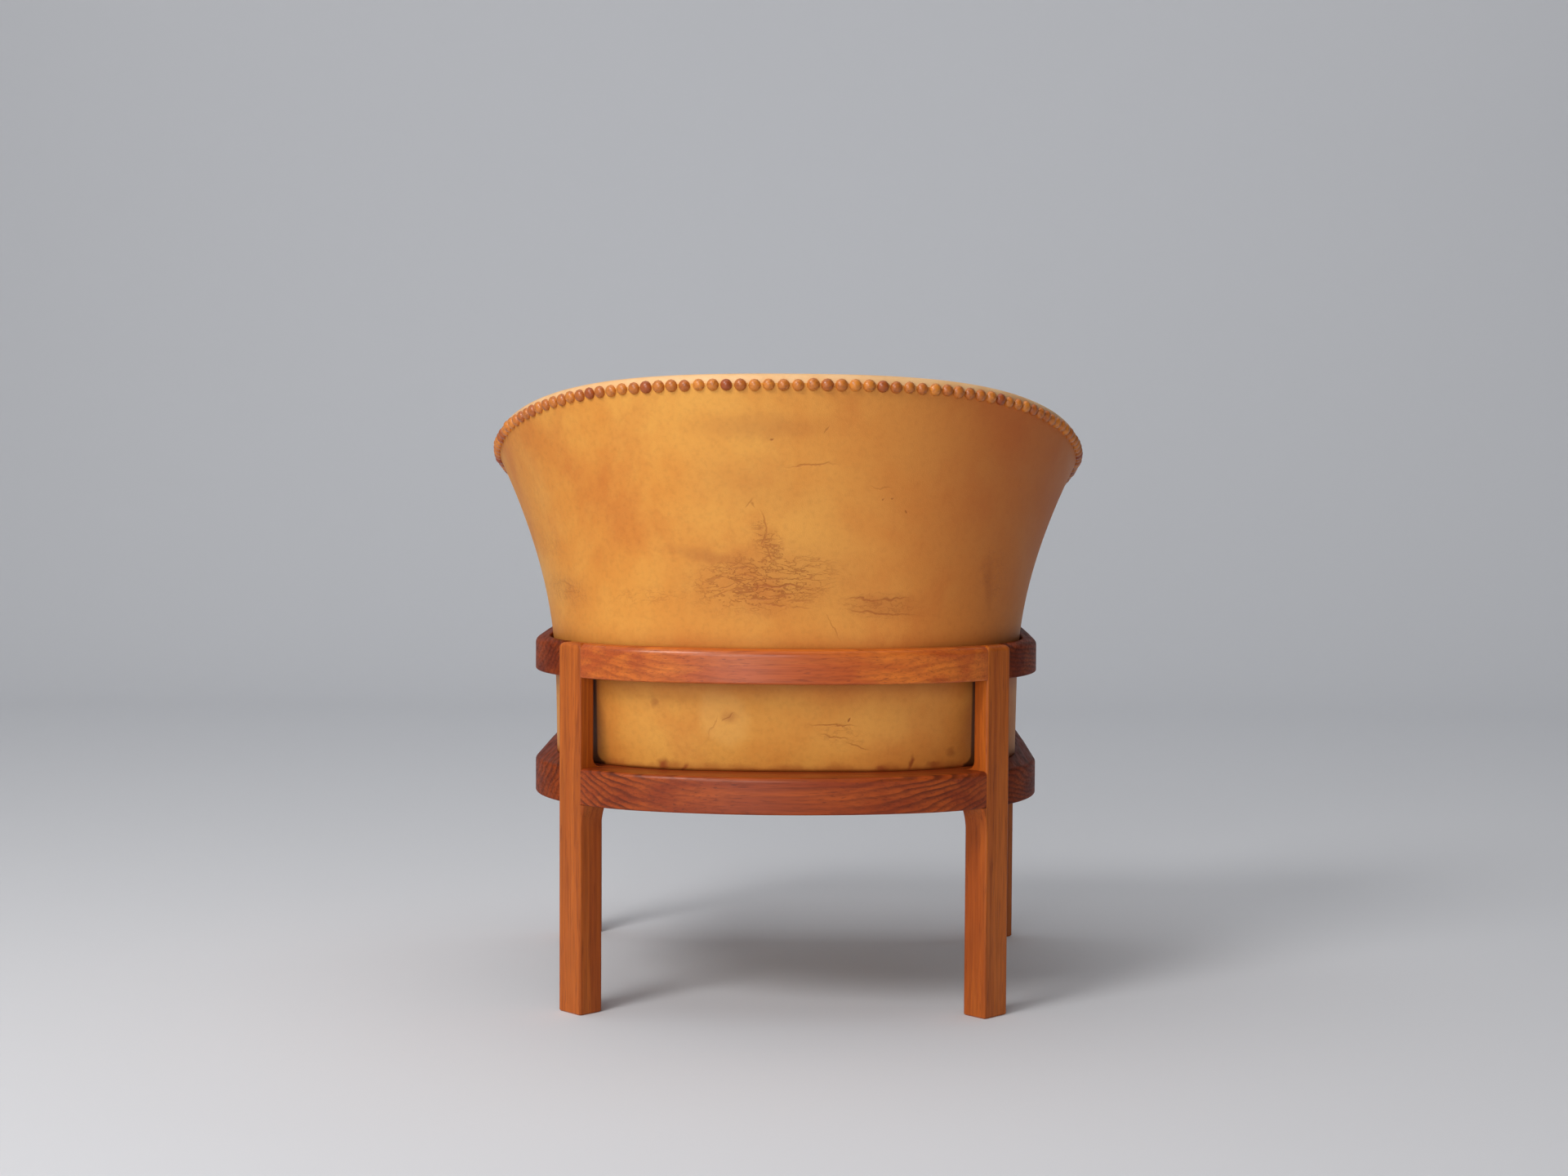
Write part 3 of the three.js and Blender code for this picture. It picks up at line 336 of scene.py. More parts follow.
def leg(name, angle, x_low, x_high, knee, side):
    """A rounded rectangle carried up the leg: its edges are functions of the height, as the knee, the
    cove, the round top and the foot's chamfer ask."""
    arc = np.linspace(0, QUARTER, 7)
    knee_from, round_from = SEAT_BOTTOM - KNEE_HEIGHT, ARM_TOP - TOP_ROUND
    stops = [
        [0, FOOT_CHAMFER, FOOT_CHAMFER + 0.3 * MM],
        np.linspace(knee_from, SEAT_BOTTOM, 9),
        [SEAT_BOTTOM + 0.2 * MM, SEAT_TOP - 0.2 * MM],
        SEAT_TOP + COVE_RADIUS * (1 - np.cos(arc)),
        [SEAT_TOP + COVE_RADIUS + 0.5 * MM, round_from - 0.5 * MM],
        round_from + TOP_ROUND * np.sin(arc),
        np.linspace(2 * FOOT_CHAMFER, knee_from, 6),
    ]
    z = np.unique(np.concatenate(stops))[:, None]
    drop_in = TOP_ROUND - np.sqrt(np.maximum(TOP_ROUND**2 - np.maximum(z - round_from, 0) ** 2, 0))
    drop_in += np.maximum(FOOT_CHAMFER - z, 0)
    rise = np.clip(z - SEAT_TOP, 0, COVE_RADIUS)
    cove = COVE_RADIUS - np.sqrt(np.maximum(COVE_RADIUS**2 - (COVE_RADIUS - rise) ** 2, 0))
    back = np.where(z <= SEAT_TOP, -LEG_DEPTH, -np.minimum(RELIEF_DEPTH + cove, LEG_DEPTH))
    swell = np.clip((z - knee_from) / KNEE_HEIGHT, 0, 1) ** KNEE_POWER * KNEE_REACH * (z <= SEAT_BOTTOM)
    low = x_low - (swell if knee < 0 else 0) + drop_in
    high = x_high + (swell if knee > 0 else 0) - drop_in
    radius = np.maximum(EDGE_ROUND - 0.3 * drop_in, 0.8 * MM)
    back_in = np.where(z > SEAT_TOP, drop_in, FOOT_CHAMFER * (z == 0))
    flat = rounded_outline(low, high, back + back_in, -drop_in, radius)
    px, py = from_leg(angle, flat[..., 0], flat[..., 1])
    return lofted(name, np.stack([side * px, py, np.broadcast_to(z, px.shape)], -1))


leg_timber = timber(
    "leg timber", "z", tone(194, 102, 31), tone(164, 76, 18), tone(100, 38, 7), 6 * MM, 0.24, (0.3, 0.35)
)
leg_places = {
    "rear": (EIGHTH, -ARRIS_LEAD, LEG_WIDTH - ARRIS_LEAD, -1),
    "front": (3 * EIGHTH, -LEG_WIDTH / 2, LEG_WIDTH / 2, 1),
}
HANDS = (("left", 1), ("right", -1))
for end, place in leg_places.items():
    for hand, side in HANDS:
        piece = leg(f"{end}_leg_{hand}_shaped", *place, side)
        settle(piece, leg_timber, "chair", f"{end}_leg_{hand}", slot="timber")

# Rails
# Bowed hardwood boards sawn to the plan curve. The upper ones are slim with a full round-over, and butt
# against the legs' faces. The lower ones are wide boards that carry the tub, and mitre together behind
# the legs.
ARM_THICK, ARM_ROUND, SEAT_ROUND, LOWER_ROUND = 17 * MM, 8 * MM, 5 * MM, 2 * MM
REAR_WIDE, SIDE_WIDE, FRONT_WIDE = 104 * MM, 60 * MM, 40 * MM
SEAT_LEVELS, ARM_LEVELS = (SEAT_BOTTOM, SEAT_TOP, SEAT_ROUND), (ARM_BOTTOM, ARM_TOP, ARM_ROUND)
REAR_REACH, FRONT_REACH, ARM_REACH, ARM_FRONT_REACH = 0.24, 0.35, 0.02, 0.3
CUT_OUT, CUT_IN, CUT_PAST, CUT_OVER, ARM_CUT_IN, ARM_CUT_PAST = (
    20 * MM, 200 * MM, 160 * MM, 5 * MM, 60 * MM, 200 * MM
)
rear_turn, corner_turn, side_turn, _ = rail_arcs[:4, 3]


def ease(share):
    """0 below 0, 1 above 1, and 3s^2 - 2s^3 between."""
    s = np.clip(share, 0, 1)
    return s * s * (3 - 2 * s)


def seat_width(angle):
    """The seat rail's width: eased from the rear board's to the side's, then straight to the front's."""
    turn = np.abs(angle)
    near = ease((turn - rear_turn) / (corner_turn - rear_turn))
    far = np.clip((turn - QUARTER) / (side_turn - QUARTER), 0, 1)
    return REAR_WIDE + (SIDE_WIDE - REAR_WIDE) * near + (FRONT_WIDE - SIDE_WIDE) * far


def arm_width(angle):
    """The same all the way round."""
    return np.full(np.shape(angle), ARM_THICK)


def rail_profile(bottom, top, top_round):
    """Shares across the width, fixed insets and heights of the section's points: (share, inset, height)."""
    arc = np.linspace(0, QUARTER, 7)
    hold, low = 0.3 * MM, LOWER_ROUND
    points = [(0, low * (1 - math.sin(a)), bottom + low * (1 - math.cos(a))) for a in arc]
    points += [(0, 0, bottom + low + hold), (0, 0, top - top_round - hold)]
    points += [(0, top_round * (1 - math.cos(a)), top - top_round * (1 - math.sin(a))) for a in arc]
    points += [(0, top_round + hold, top), (1, -low - hold, top)]
    points += [(1, -low * (1 - math.sin(a)), top - low * (1 - math.cos(a))) for a in arc]
    points += [(1, 0, top - low - hold), (1, 0, bottom + low + hold)]
    points += [(1, -low * (1 - math.cos(a)), bottom + low * (1 - math.sin(a))) for a in arc]
    return np.array([*points, (1, -low - hold, bottom), (0, low + hold, bottom)])


def block(leg_angle, side, x_low, x_high, y_low, y_high, levels):
    """A cutter in a leg's own frame, past both levels."""
    x, y = np.array([[x, y] for y in (y_low, y_high) for x in (x_low, x_high)]).T
    corners = list(zip(*from_leg(leg_angle, x, y)))
    points = [(side * x, y, z) for z in (levels[0] - CUT_OVER, levels[1] + CUT_OVER) for x, y in corners]
    faces = [(0, 1, 3, 2), (4, 6, 7, 5), (0, 4, 5, 1), (1, 5, 7, 3), (3, 7, 6, 2), (2, 6, 4, 0)]
    return mesh_object("cutter", points, faces)


def leg_room(end, side, levels):
    """The leg's own space and its clearance."""
    angle, x_low, x_high, _ = leg_places[end]
    return block(angle, side, x_low - CLEAR, x_high + CLEAR, -LEG_DEPTH - CLEAR, CUT_OUT, levels)


def mitre(end, side, trim):
    """Room for a leg, and all that lies beyond the mitre: trim is -1 to drop the side nearer the rear."""
    angle, x_low, x_high, _ = leg_places[end]
    saw = (x_low + x_high) / 2 - trim * CLEAR / 2
    beyond = sorted((saw, saw + trim * CUT_PAST))
    return [leg_room(end, side, SEAT_LEVELS), block(angle, side, *beyond, -CUT_IN, CUT_OUT, SEAT_LEVELS)]


def past_leg(end, side, x_low, x_high):
    """All that lies past a leg's face, at the height of the upper rail."""
    return block(leg_places[end][0], side, x_low, x_high, -ARM_CUT_IN, CUT_OUT, ARM_LEVELS)


def cut(piece, cutters):
    """Takes the cutters out of a piece one by one, removes them, and smooths the piece again."""
    for cutter in cutters:
        carve = piece.modifiers.new("cut", "BOOLEAN")
        carve.object, carve.operation, carve.solver = cutter, "DIFFERENCE", "EXACT"
        bpy.context.view_layer.update()
        shaped = piece.evaluated_get(bpy.context.evaluated_depsgraph_get())
        made = bpy.data.meshes.new_from_object(shaped)
        piece.modifiers.clear()
        piece.data = made
        bpy.data.objects.remove(cutter)
    piece.data.shade_smooth()
    piece.data.set_sharp_from_angle(angle=CREASE)
    return piece


def rail(node, material, angles, levels, width_at, cutters):
    """The profile carried along the plan curve: each of its points keeps its inset and its height. Then the
    legs' room is cut out."""
    joins = [way for turn in rail_arcs[:4, 3] for way in (turn, -turn, 2 * math.pi - turn)]
    angles = np.unique(np.concatenate([angles, [a for a in joins if angles.min() < a < angles.max()]]))
    angles = np.where(angles > math.pi, angles - 2 * math.pi, angles)
    share, inset, height = rail_profile(*levels).T
    x, y = on_plan(rail_arcs, angles[:, None], share * width_at(angles)[:, None] + inset)
    piece = lofted(node + "_shaped", np.stack([x, y, np.broadcast_to(height, x.shape)], -1))
    settle(cut(piece, cutters), material, "chair", node, slot="timber")


# The rails are one hardwood in three tones. The rear arm rail's lighter tone is painted light, and the side
# rails' darker tone is painted shade on faces seen edge-on and mostly turned from the light. The side rails'
# grain runs along y.
seat_rail_timber = timber(
    "seat rail timber", "x", tone(170, 75, 19), tone(138, 52, 12), tone(64, 20, 4), 6.2 * MM, 0.27,
    (0.01, 0.12), ends=(0.07, 0.19), gloss=0.2,
)
arm_rail_timber_painted_light = timber(
    "arm rail timber painted light", "x", tone(210, 112, 36), tone(180, 81, 26), tone(104, 38, 10), 8 * MM, 0.15,
    (0.01, 0.12), ends=(0.08, 0.24), gloss=0.4,
)
side_rail_timber_painted_shade = timber(
    "side rail timber painted shade", "y", tone(146, 60, 14), tone(112, 38, 7), tone(48, 14, 2), 6 * MM, 0.34,
    (0.2, -0.12), rough=0.5, ends=(0.05, 0.3), gloss=0.0, sheen=0.1,
)
rear_low, rear_high = leg_places["rear"][1] - CLEAR, leg_places["rear"][2] + CLEAR
front_low = leg_places["front"][1] - CLEAR
turns = np.linspace(-EIGHTH - REAR_REACH, EIGHTH + REAR_REACH, 121)
cutters = mitre("rear", 1, 1) + mitre("rear", -1, 1)
rail("rear_seat_rail", seat_rail_timber, turns, SEAT_LEVELS, seat_width, cutters)
turns = np.linspace(3 * EIGHTH - FRONT_REACH, 5 * EIGHTH + FRONT_REACH, 121)
cutters = mitre("front", 1, -1) + mitre("front", -1, -1)
rail("front_seat_rail", seat_rail_timber, turns, SEAT_LEVELS, seat_width, cutters)
turns = np.linspace(-EIGHTH - ARM_REACH, EIGHTH + ARM_REACH, 121)
cutters = [past_leg("rear", side, rear_low, ARM_CUT_PAST) for _, side in HANDS]
rail("rear_arm_rail", arm_rail_timber_painted_light, turns, ARM_LEVELS, arm_width, cutters)
for hand, side in HANDS:
    turns = side * np.linspace(EIGHTH - REAR_REACH, 3 * EIGHTH + FRONT_REACH, 141)
    cutters = mitre("rear", side, -1) + mitre("front", side, 1)
    rail(f"side_seat_rail_{hand}", side_rail_timber_painted_shade, turns, SEAT_LEVELS, seat_width, cutters)
    turns = side * np.linspace(EIGHTH + ARM_REACH, 3 * EIGHTH + ARM_FRONT_REACH, 141)
    cutters = [
        past_leg("rear", side, -ARM_CUT_PAST, rear_high), past_leg("front", side, front_low, ARM_CUT_PAST)
    ]
    rail(f"side_arm_rail_{hand}", side_rail_timber_painted_shade, turns, ARM_LEVELS, arm_width, cutters)

# Tub
# A bent plywood core with leather outside and padding under leather inside, screwed down on the seat
# rails. Its wall rises to the waist at the upper rail, then flares to the rim, which is half an ellipse
# with straight sides.
TUB_SIDE, TUB_WIDEST, TUB_FRONT = 5000 * MM, -310 * MM, -460 * MM
FOOT_REAR, FOOT_BOW, FOOT_CORNER, WAIST_CORNER = 10 * MM, 962 * MM, 209 * MM, 204 * MM
RIM_REAR, RIM_HALF, RIM_WIDEST = 108 * MM, 357.5 * MM, -267 * MM
RIM_HEIGHT, RIM_DROP, RIM_DROP_LENGTH, RIM_DROP_SHAPE = 720 * MM, 99 * MM, 700 * MM, 1.6
FLARE_START, FLARE_SIDE, FLARE_REAR = 0.3, 1.76, 1.25
FOOT, RAIL_GAP, LEATHER = SEAT_TOP + CLEAR, 0.5 * MM, 1.6 * MM
END = QUARTER + math.asin((TUB_WIDEST - TUB_FRONT) / TUB_SIDE)
WALL_RIM, WALL_SEAT, LUMBAR, LUMBAR_TOP = 16 * MM, 24 * MM, 9 * MM, 0.9
FRONT_CORNER = 95 * MM


def past_side(angle):
    """The direction up to the side, and the share of the straight run from there to the front edge."""
    return np.minimum(np.abs(angle), QUARTER), np.maximum(np.abs(angle) - QUARTER, 0) / (END - QUARTER)


def rim_height(angle):
    """The rim falls from the rear by drop (1 - cos(pi (run / length)^shape)) / 2 along its own run."""
    turn, beyond = past_side(angle)
    run = turn * (RIM_REAR - RIM_WIDEST + RIM_HALF) / 2 + beyond * (RIM_WIDEST - TUB_FRONT)
    share = np.minimum((run / RIM_DROP_LENGTH) ** RIM_DROP_SHAPE, 1)
    return RIM_HEIGHT - RIM_DROP * (1 - np.cos(math.pi * share)) / 2


def flare(angle, z):
    """How far the wall has gone from waist to rim: a power of the height over the flare's start, and a
    lower power at the rear than at the sides."""
    height = (z - FOOT) / (rim_height(angle) - FOOT)
    share = np.maximum((height - FLARE_START) / (1 - FLARE_START), 0)
    rearness = np.cos(np.minimum(np.abs(angle), QUARTER)) ** 2
    return share ** (FLARE_SIDE + (FLARE_REAR - FLARE_SIDE) * rearness)


def waist(reach, rim, angle):
    """The waist's size that brings the flared wall to reach at the upper rail's top: reach less the rim's
    share, over what is left of the share."""
    share = flare(angle, ARM_TOP)
    return float((reach - rim * share) / (1 - share))


waist_rear = waist(RAIL_REAR - ARM_THICK - RAIL_GAP, RIM_REAR, 0.0)
rail_half = HALF_WIDTH - SIDE_RADIUS + math.sqrt(SIDE_RADIUS**2 - (TUB_WIDEST - WIDEST_Y) ** 2)
waist_half = waist(rail_half - ARM_THICK - RAIL_GAP, RIM_HALF, END)
foot_arcs = plan_curve(FOOT_REAR, FOOT_BOW, FOOT_CORNER, waist_half, TUB_SIDE, TUB_WIDEST)
waist_arcs = plan_curve(waist_rear, REAR_BOW - ARM_THICK, WAIST_CORNER, waist_half, TUB_SIDE, TUB_WIDEST)


def rim_plan(angle):
    """Half an ellipse by the direction of its normal, then straight sides to the front."""
    turn, beyond = past_side(angle)
    depth = RIM_REAR - RIM_WIDEST
    across, along = RIM_HALF * np.sin(turn), depth * np.cos(turn)
    size = np.hypot(across, along)
    x = np.where(angle < 0, -1, 1) * RIM_HALF * across / size
    return x, RIM_WIDEST + depth * along / size + beyond * (TUB_FRONT - RIM_WIDEST)


def tub_point(angle, z):
    """Foot curve to waist curve in a straight line, plus the flare's share of the way from waist to rim."""
    up = np.minimum((z - FOOT) / (ARM_TOP - FOOT), 1)
    (fx, fy), (wx, wy), (rx, ry) = on_plan(foot_arcs, angle), on_plan(waist_arcs, angle), rim_plan(angle)
    share = flare(angle, z)
    x, y = fx + (wx - fx) * up + (rx - wx) * share, fy + (wy - fy) * up + (ry - wy) * share
    return np.stack([x, y, z], -1)


def tub_inward(angle, z):
    """The unit normal into the tub, from two small differences."""
    turn, rise = 1e-3, 4e-4
    along = tub_point(angle + turn, z) - tub_point(angle - turn, z)
    up = tub_point(angle, z + rise) - tub_point(angle, z - rise)
    normal = np.cross(along, up)
    return normal / np.linalg.norm(normal, axis=-1, keepdims=True)


def wall_thickness(angle, z):
    """From the seat's thickness to the rim's by ease, plus a squared sine of height at the small of the
    back."""
    height = np.clip((z - FOOT) / (rim_height(angle) - FOOT), 0, 1)
    rearness = np.maximum(np.cos(angle), 0) ** 2
    swell = LUMBAR * rearness * np.sin(math.pi * np.minimum(height / LUMBAR_TOP, 1)) ** 2
    return WALL_SEAT + (WALL_RIM - WALL_SEAT) * ease(height) + swell


def round_corner(run, drop):
    """The free edge turns from the rim down the arm's front on concentric arcs: run is the distance from
    the front edge and drop the distance from the rim."""
    line, most = np.minimum(run, drop), np.maximum(run, drop)
    left = np.maximum(FRONT_CORNER - line, 1e-9)
    turn = np.clip((FRONT_CORNER - most) / left, 0, 1) * EIGHTH
    near, far = FRONT_CORNER - left * np.cos(turn), FRONT_CORNER - left * np.sin(turn)
    inside = (run < FRONT_CORNER) & (drop < FRONT_CORNER)
    front, down = np.where(run > drop, far, near), np.where(run > drop, near, far)
    return np.where(inside, front, run), np.where(inside, down, drop)


def on_wall(side, run, drop):
    """The direction and the height of a place by its distances from the free edges: the front's direction
    less run over the side's radius, and the rim's height less drop, both first turned round the corner."""
    front, down = round_corner(run, drop)
    angle = END - front / TUB_SIDE
    z = rim_height(angle) - down
    return side * angle, z


def wall_layer(edge_runs, columns, rows):
    """A layer of the wall as a grid: directions, heights, distances from the free edge, points and inward
    normals. Columns and rows near the edge keep their distances in edge_runs. The other columns are
    evenly spaced along the mean of the waist and the rim, and the other rows share out what is left down
    to the foot."""
    fine = np.linspace(edge_runs[-1], END * TUB_SIDE, 20001)
    turns = END - fine / TUB_SIDE
    plan = (np.stack(on_plan(waist_arcs, turns)) + np.stack(rim_plan(turns))) / 2
    length = np.concatenate([[0], np.cumsum(np.hypot(*np.diff(plan, axis=1)))])
    half = np.concatenate([edge_runs, np.interp(np.linspace(0, length[-1], columns)[1:], length, fine)])
    runs = np.concatenate([half, half[-2::-1]])
    sides = np.concatenate([np.ones(len(half)), -np.ones(len(half) - 1)])
    full = rim_height(END - runs / TUB_SIDE) - FOOT
    edge = np.broadcast_to(edge_runs[:, None], (len(edge_runs), len(runs)))
    rest = edge_runs[-1] + (full[None, :] - edge_runs[-1]) * np.linspace(0, 1, rows)[1:, None]
    drop = np.concatenate([edge, rest], 0)
    run = np.broadcast_to(runs[None, :], drop.shape)
    angle, z = on_wall(sides[None, :], run, drop)
    return angle, z, np.minimum(run, drop), tub_point(angle, z), tub_inward(angle, z)


# Outside leather
# One waxed hide, stretched over the core, nailed along its top edge and down the arms' fronts, and tucked
# in at the foot. It has crackled where it folded. Shade is painted on it under the upper rail, beside the
# legs and on the side off the light.
NAIL_LINE = 10 * MM
HIDE_EDGE = NAIL_LINE - 2 * MM
HIDE_PUFF, HIDE_WAVE, HIDE_HELD, HIDE_EASE, HIDE_FOOT = 0.5 * MM, 160 * MM, 20 * MM, 80 * MM, 30 * MM


def ripples(points, seed, size, count=9):
    """A smooth random height from -1 to 1: the mean of sine waves in seeded directions, size apart."""
    pick = np.random.default_rng(seed)
    ways = pick.normal(size=(count, 3))
    ways /= np.linalg.norm(ways, axis=1, keepdims=True)
    waves = 2 * math.pi / (size * pick.uniform(0.7, 1.5, count))
    phases = pick.uniform(0, 2 * math.pi, count)
    return np.sin(points @ (ways * waves[:, None]).T + phases).mean(-1) * 1.6


def wound(faces, points, way):
    """The faces turned so that they look along way, which is given for each point."""
    flat, ways = np.asarray(points).reshape(-1, 3), np.asarray(way).reshape(-1, 3)
    normals = np.cross(flat[faces[:, 2]] - flat[faces[:, 0]], flat[faces[:, 3]] - flat[faces[:, 1]])
    return faces if (normals * ways[faces[:, 0]]).sum() > 0 else faces[:, ::-1]


def give_thickness(piece, thickness):
    """A skin's thickness, laid behind its faces."""
    wall = piece.modifiers.new("thickness", "SOLIDIFY")
    wall.thickness, wall.offset = thickness, -1


edge_runs = HIDE_EDGE + np.array([0, 1, 2, 4, 7, 12, 18, 26, 36, 48]) * MM
angle, z, edge, base, inward = wall_layer(edge_runs, columns=200, rows=110)
lift = HIDE_PUFF * ripples(base, 3, HIDE_WAVE) * ease((edge - HIDE_HELD) / HIDE_EASE)
lift *= ease((z - FOOT) / HIDE_FOOT)
outside = base - inward * lift[..., None]
faces = wound(grid_faces(*angle.shape), outside, -inward)
piece = mesh_object("outside_leather_hide", outside, faces, sharp=3, closed=False)
give_thickness(piece, LEATHER)


def hide(name, light, mid, dark, red, rough=0.5):
    """Waxed natural hide: broad clouds of tone, faint smears along the pull, fine pores and a pebble
    grain."""
    skin = Finish(name, rough, Coat_Weight=0.03, Coat_Roughness=0.35, Specular_IOR_Level=0.22)
    clouds = skin.noise(5.5, detail=5, rough=0.6, warp=0.4)
    smears = skin.noise(9, (0.8, 0.8, 0.6), detail=6, rough=0.62, warp=0.25, move=(3, 1, 2))
    specks = skin.noise(160, detail=3, rough=0.6)
    grain = skin.node("TexVoronoi", Vector=skin.place, Scale=900.0, Randomness=1.0).outputs["Distance"]
    colour = skin.mix(skin.span(clouds, 0.32, 0.68), mid, light)
    colour = skin.mix(skin.times(skin.span(smears, 0.45, 0.75), 0.6), colour, red)
    colour = skin.mix(skin.times(skin.span(specks, 0.4, 0.8), 0.12), colour, dark)
    height = skin.math("ADD", skin.times(grain, 0.5), skin.times(specks, 0.5))
    roughness = skin.span(clouds, 0.3, 0.7, rough + 0.06, rough - 0.05)
    return skin, colour, roughness, height


AMBER, HONEY, UMBER, RUSSET = tone(223, 158, 71), tone(213, 138, 56), tone(96, 44, 16), tone(190, 98, 36)
skin, colour, roughness, height = hide("outside hide", AMBER, HONEY, UMBER, RUSSET)
x, _, z = skin.split()
waver = skin.node("TexNoise", Vector=skin.place, Scale=70.0, Detail=3.0).outputs["Color"]
shift = skin.vector("MULTIPLY_ADD", waver, (0.012, 0, 0.012), (-0.006, 0, -0.006))
where = skin.vector("ADD", skin.place, shift)


def marks(spots, soft):
    """The strongest of a list of marks, each an ellipse seen from the rear: x, z, half length and half
    width in mm, degrees off level towards +X, and strength. It is full in its middle and fades over a
    soft edge."""
    found = None
    for x, z, half_long, half_wide, turn, strength in spots:
        moved = skin.vector("SUBTRACT", where, (x * MM, 0, z * MM))
        turn = math.radians(turn)
        turned = skin.node("VectorRotate", {"rotation_type": "Y_AXIS"}, Vector=moved, Angle=turn)
        size = (1 / (half_long * MM), 0, 1 / (half_wide * MM))
        scaled = skin.vector("MULTIPLY", turned.outputs[0], size)
        reach = skin.node("VectorMath", {"operation": "LENGTH"}, i0=scaled).outputs["Value"]
        mark = skin.times(skin.span(reach, 1 - soft, 1 + soft, 1.0, 0.0), strength)
        found = mark if found is None else skin.math("MAXIMUM", found, mark)
    return found


# Creases, nicks and scars
worn = marks([
    (13, 652, 2, 1.2, 0, 0.8), (-31, 624, 23, 1.0, -3, 0.5), (-46, 662, 4, 0.8, -45, 0.4),
    (37, 583, 6, 0.8, -60, 0.4), (33, 581, 5, 0.8, 60, 0.4), (21, 560, 13, 1.0, 80, 0.5),
    (22, 543, 8, 1.0, -72, 0.5), (15, 526, 14, 1.0, 59, 0.5), (75, 500, 14, 0.9, -25, 0.4),
    (60, 491, 12, 0.9, -20, 0.45), (68, 482, 10, 0.8, -22, 0.4), (45, 487, 14, 0.9, -5, 0.5),
    (2, 492, 25, 1.2, 0, 0.75), (25, 478, 15, 1.0, 2, 0.5), (0, 482, 14, 1.0, 0, 0.5),
    (10, 471, 14, 0.9, 3, 0.45), (-17, 476, 12, 0.9, -4, 0.45), (-20, 468, 10, 0.9, 5, 0.4),
    (12, 500, 12, 0.8, -6, 0.4), (38, 502, 9, 0.8, 8, 0.35), (50, 512, 9, 0.8, -15, 0.35),
    (15, 510, 8, 0.8, 5, 0.3), (-88, 477, 17, 1.1, 6, 0.6), (-120, 477, 15, 1.1, -6, 0.6),
    (-106, 462, 34, 1.1, 4, 0.55), (-54, 447, 14, 0.8, 62, 0.35), (-109, 587, 1.5, 1.2, 0, 0.6),
    (-119, 587, 1.5, 1.2, 0, 0.6), (-133, 574, 1.5, 1.2, 0, 0.6), (-39, 520, 1.6, 1.2, 0, 0.5),
    (-106, 601, 12, 0.7, 0, 0.3), (249, 487, 9, 1.2, 20, 0.4), (247, 478, 7, 1.0, -10, 0.35),
    (-55, 335, 23, 0.9, 2, 0.6), (-58, 322, 14, 0.9, 12, 0.55), (-83, 311, 12, 0.9, 22, 0.5),
    (-74, 341, 2.2, 1.5, -60, 0.9), (63, 343, 7, 1.0, -35, 0.4), (78, 333, 12, 0.8, -70, 0.3),
], 0.6)

# Crackle: thin lines where a noise drawn out level passes its middle value, in the folds of the hide
folded = marks([
    (22, 496, 72, 30, -6, 1.0), (12, 530, 38, 13, 62, 0.8), (-105, 470, 42, 14, 3, 0.5),
    (250, 480, 26, 15, 10, 0.6), (272, 530, 20, 16, 0, 0.4), (150, 478, 46, 9, -4, 0.4),
    (-66, 325, 26, 13, 8, 0.4), (-236, 500, 16, 30, 0, 0.4),
], 0.5)
fold = skin.noise(46, (0.3, 1, 1), detail=5, rough=0.6, warp=0.3, move=(1, 4, 2))
fine = skin.noise(95, (0.45, 1, 1), detail=4, rough=0.6, move=(5, 2, 8))
for ridge, width in ((fold, 0.012), (fine, 0.016)):
    off_line = skin.math("ABSOLUTE", skin.math("SUBTRACT", ridge, 0.5))
    line = skin.span(off_line, width * 0.25, width, 1.0, 0.0)
    worn = skin.math("MAXIMUM", worn, skin.times(skin.times(line, folded), 0.62))

# Stains
stained = marks([
    (71, 522, 44, 7, 10, 0.35), (-230, 491, 26, 5, 88, 0.3), (135, 288, 6, 5, 90, 0.9),
    (111, 284, 5, 1.6, -60, 0.8), (-143, 291, 6, 2.5, -70, 0.9), (-110, 285, 5, 2.5, 0, 0.8),
    (-168, 287, 8, 3, 0, 0.6), (145, 359, 5, 3, 70, 0.4), (60, 343, 7, 5, 20, 0.35),
    (-190, 300, 5, 4, 0, 0.5), (15, 500, 80, 34, -4, 0.22), (30, 600, 60, 24, 15, 0.12),
    (14, 535, 26, 8, 62, 0.3), (-104, 470, 40, 12, 4, 0.22), (25, 665, 60, 12, 0, 0.25),
    (246, 482, 26, 16, 10, 0.12),
], 0.8)

# Darker at the foot and just over the upper rail, and a pale patch low down. Painted shade: the upper
# rail's shadow under it, which also holds some dirt, a shadow line beside the legs, and the side off the
# light
LEG_SIDE, LEG_FOOT, BEHIND_LEG = 0.2025, 0.2955, (0.035, 0.045)
FOOT_DARK, UNDER_RAIL = (0.282, 0.292), (0.356, 0.382)
BEHIND_RAIL, OVER_RAIL = (0.384, 0.392), (0.416, 0.446)
cloudy = skin.times(skin.math("SUBTRACT", skin.noise(28, detail=4), 0.5), 0.02)
shaken = skin.math("ADD", z, cloudy)
# Darker towards the foot
foot_dark_band = skin.span(shaken, *FOOT_DARK, 0.6, 0.0)
# The upper rail's painted shadow on the hide just under it, which also holds some dirt
rail_shadow_and_dirt = skin.times(skin.span(shaken, *UNDER_RAIL, 0.0, 0.45), skin.span(z, *BEHIND_RAIL, 1.0, 0.0))
above_rail = skin.times(skin.span(z, *OVER_RAIL, 0.3, 0.0), skin.span(z, 0.41, OVER_RAIL[0]))
# The darker foot band, the upper rail's painted shadow with some dirt, and the darker band over the rail
rail_shadow_and_dark_bands = skin.math("MAXIMUM", skin.math("MAXIMUM", foot_dark_band, rail_shadow_and_dirt), above_rail)
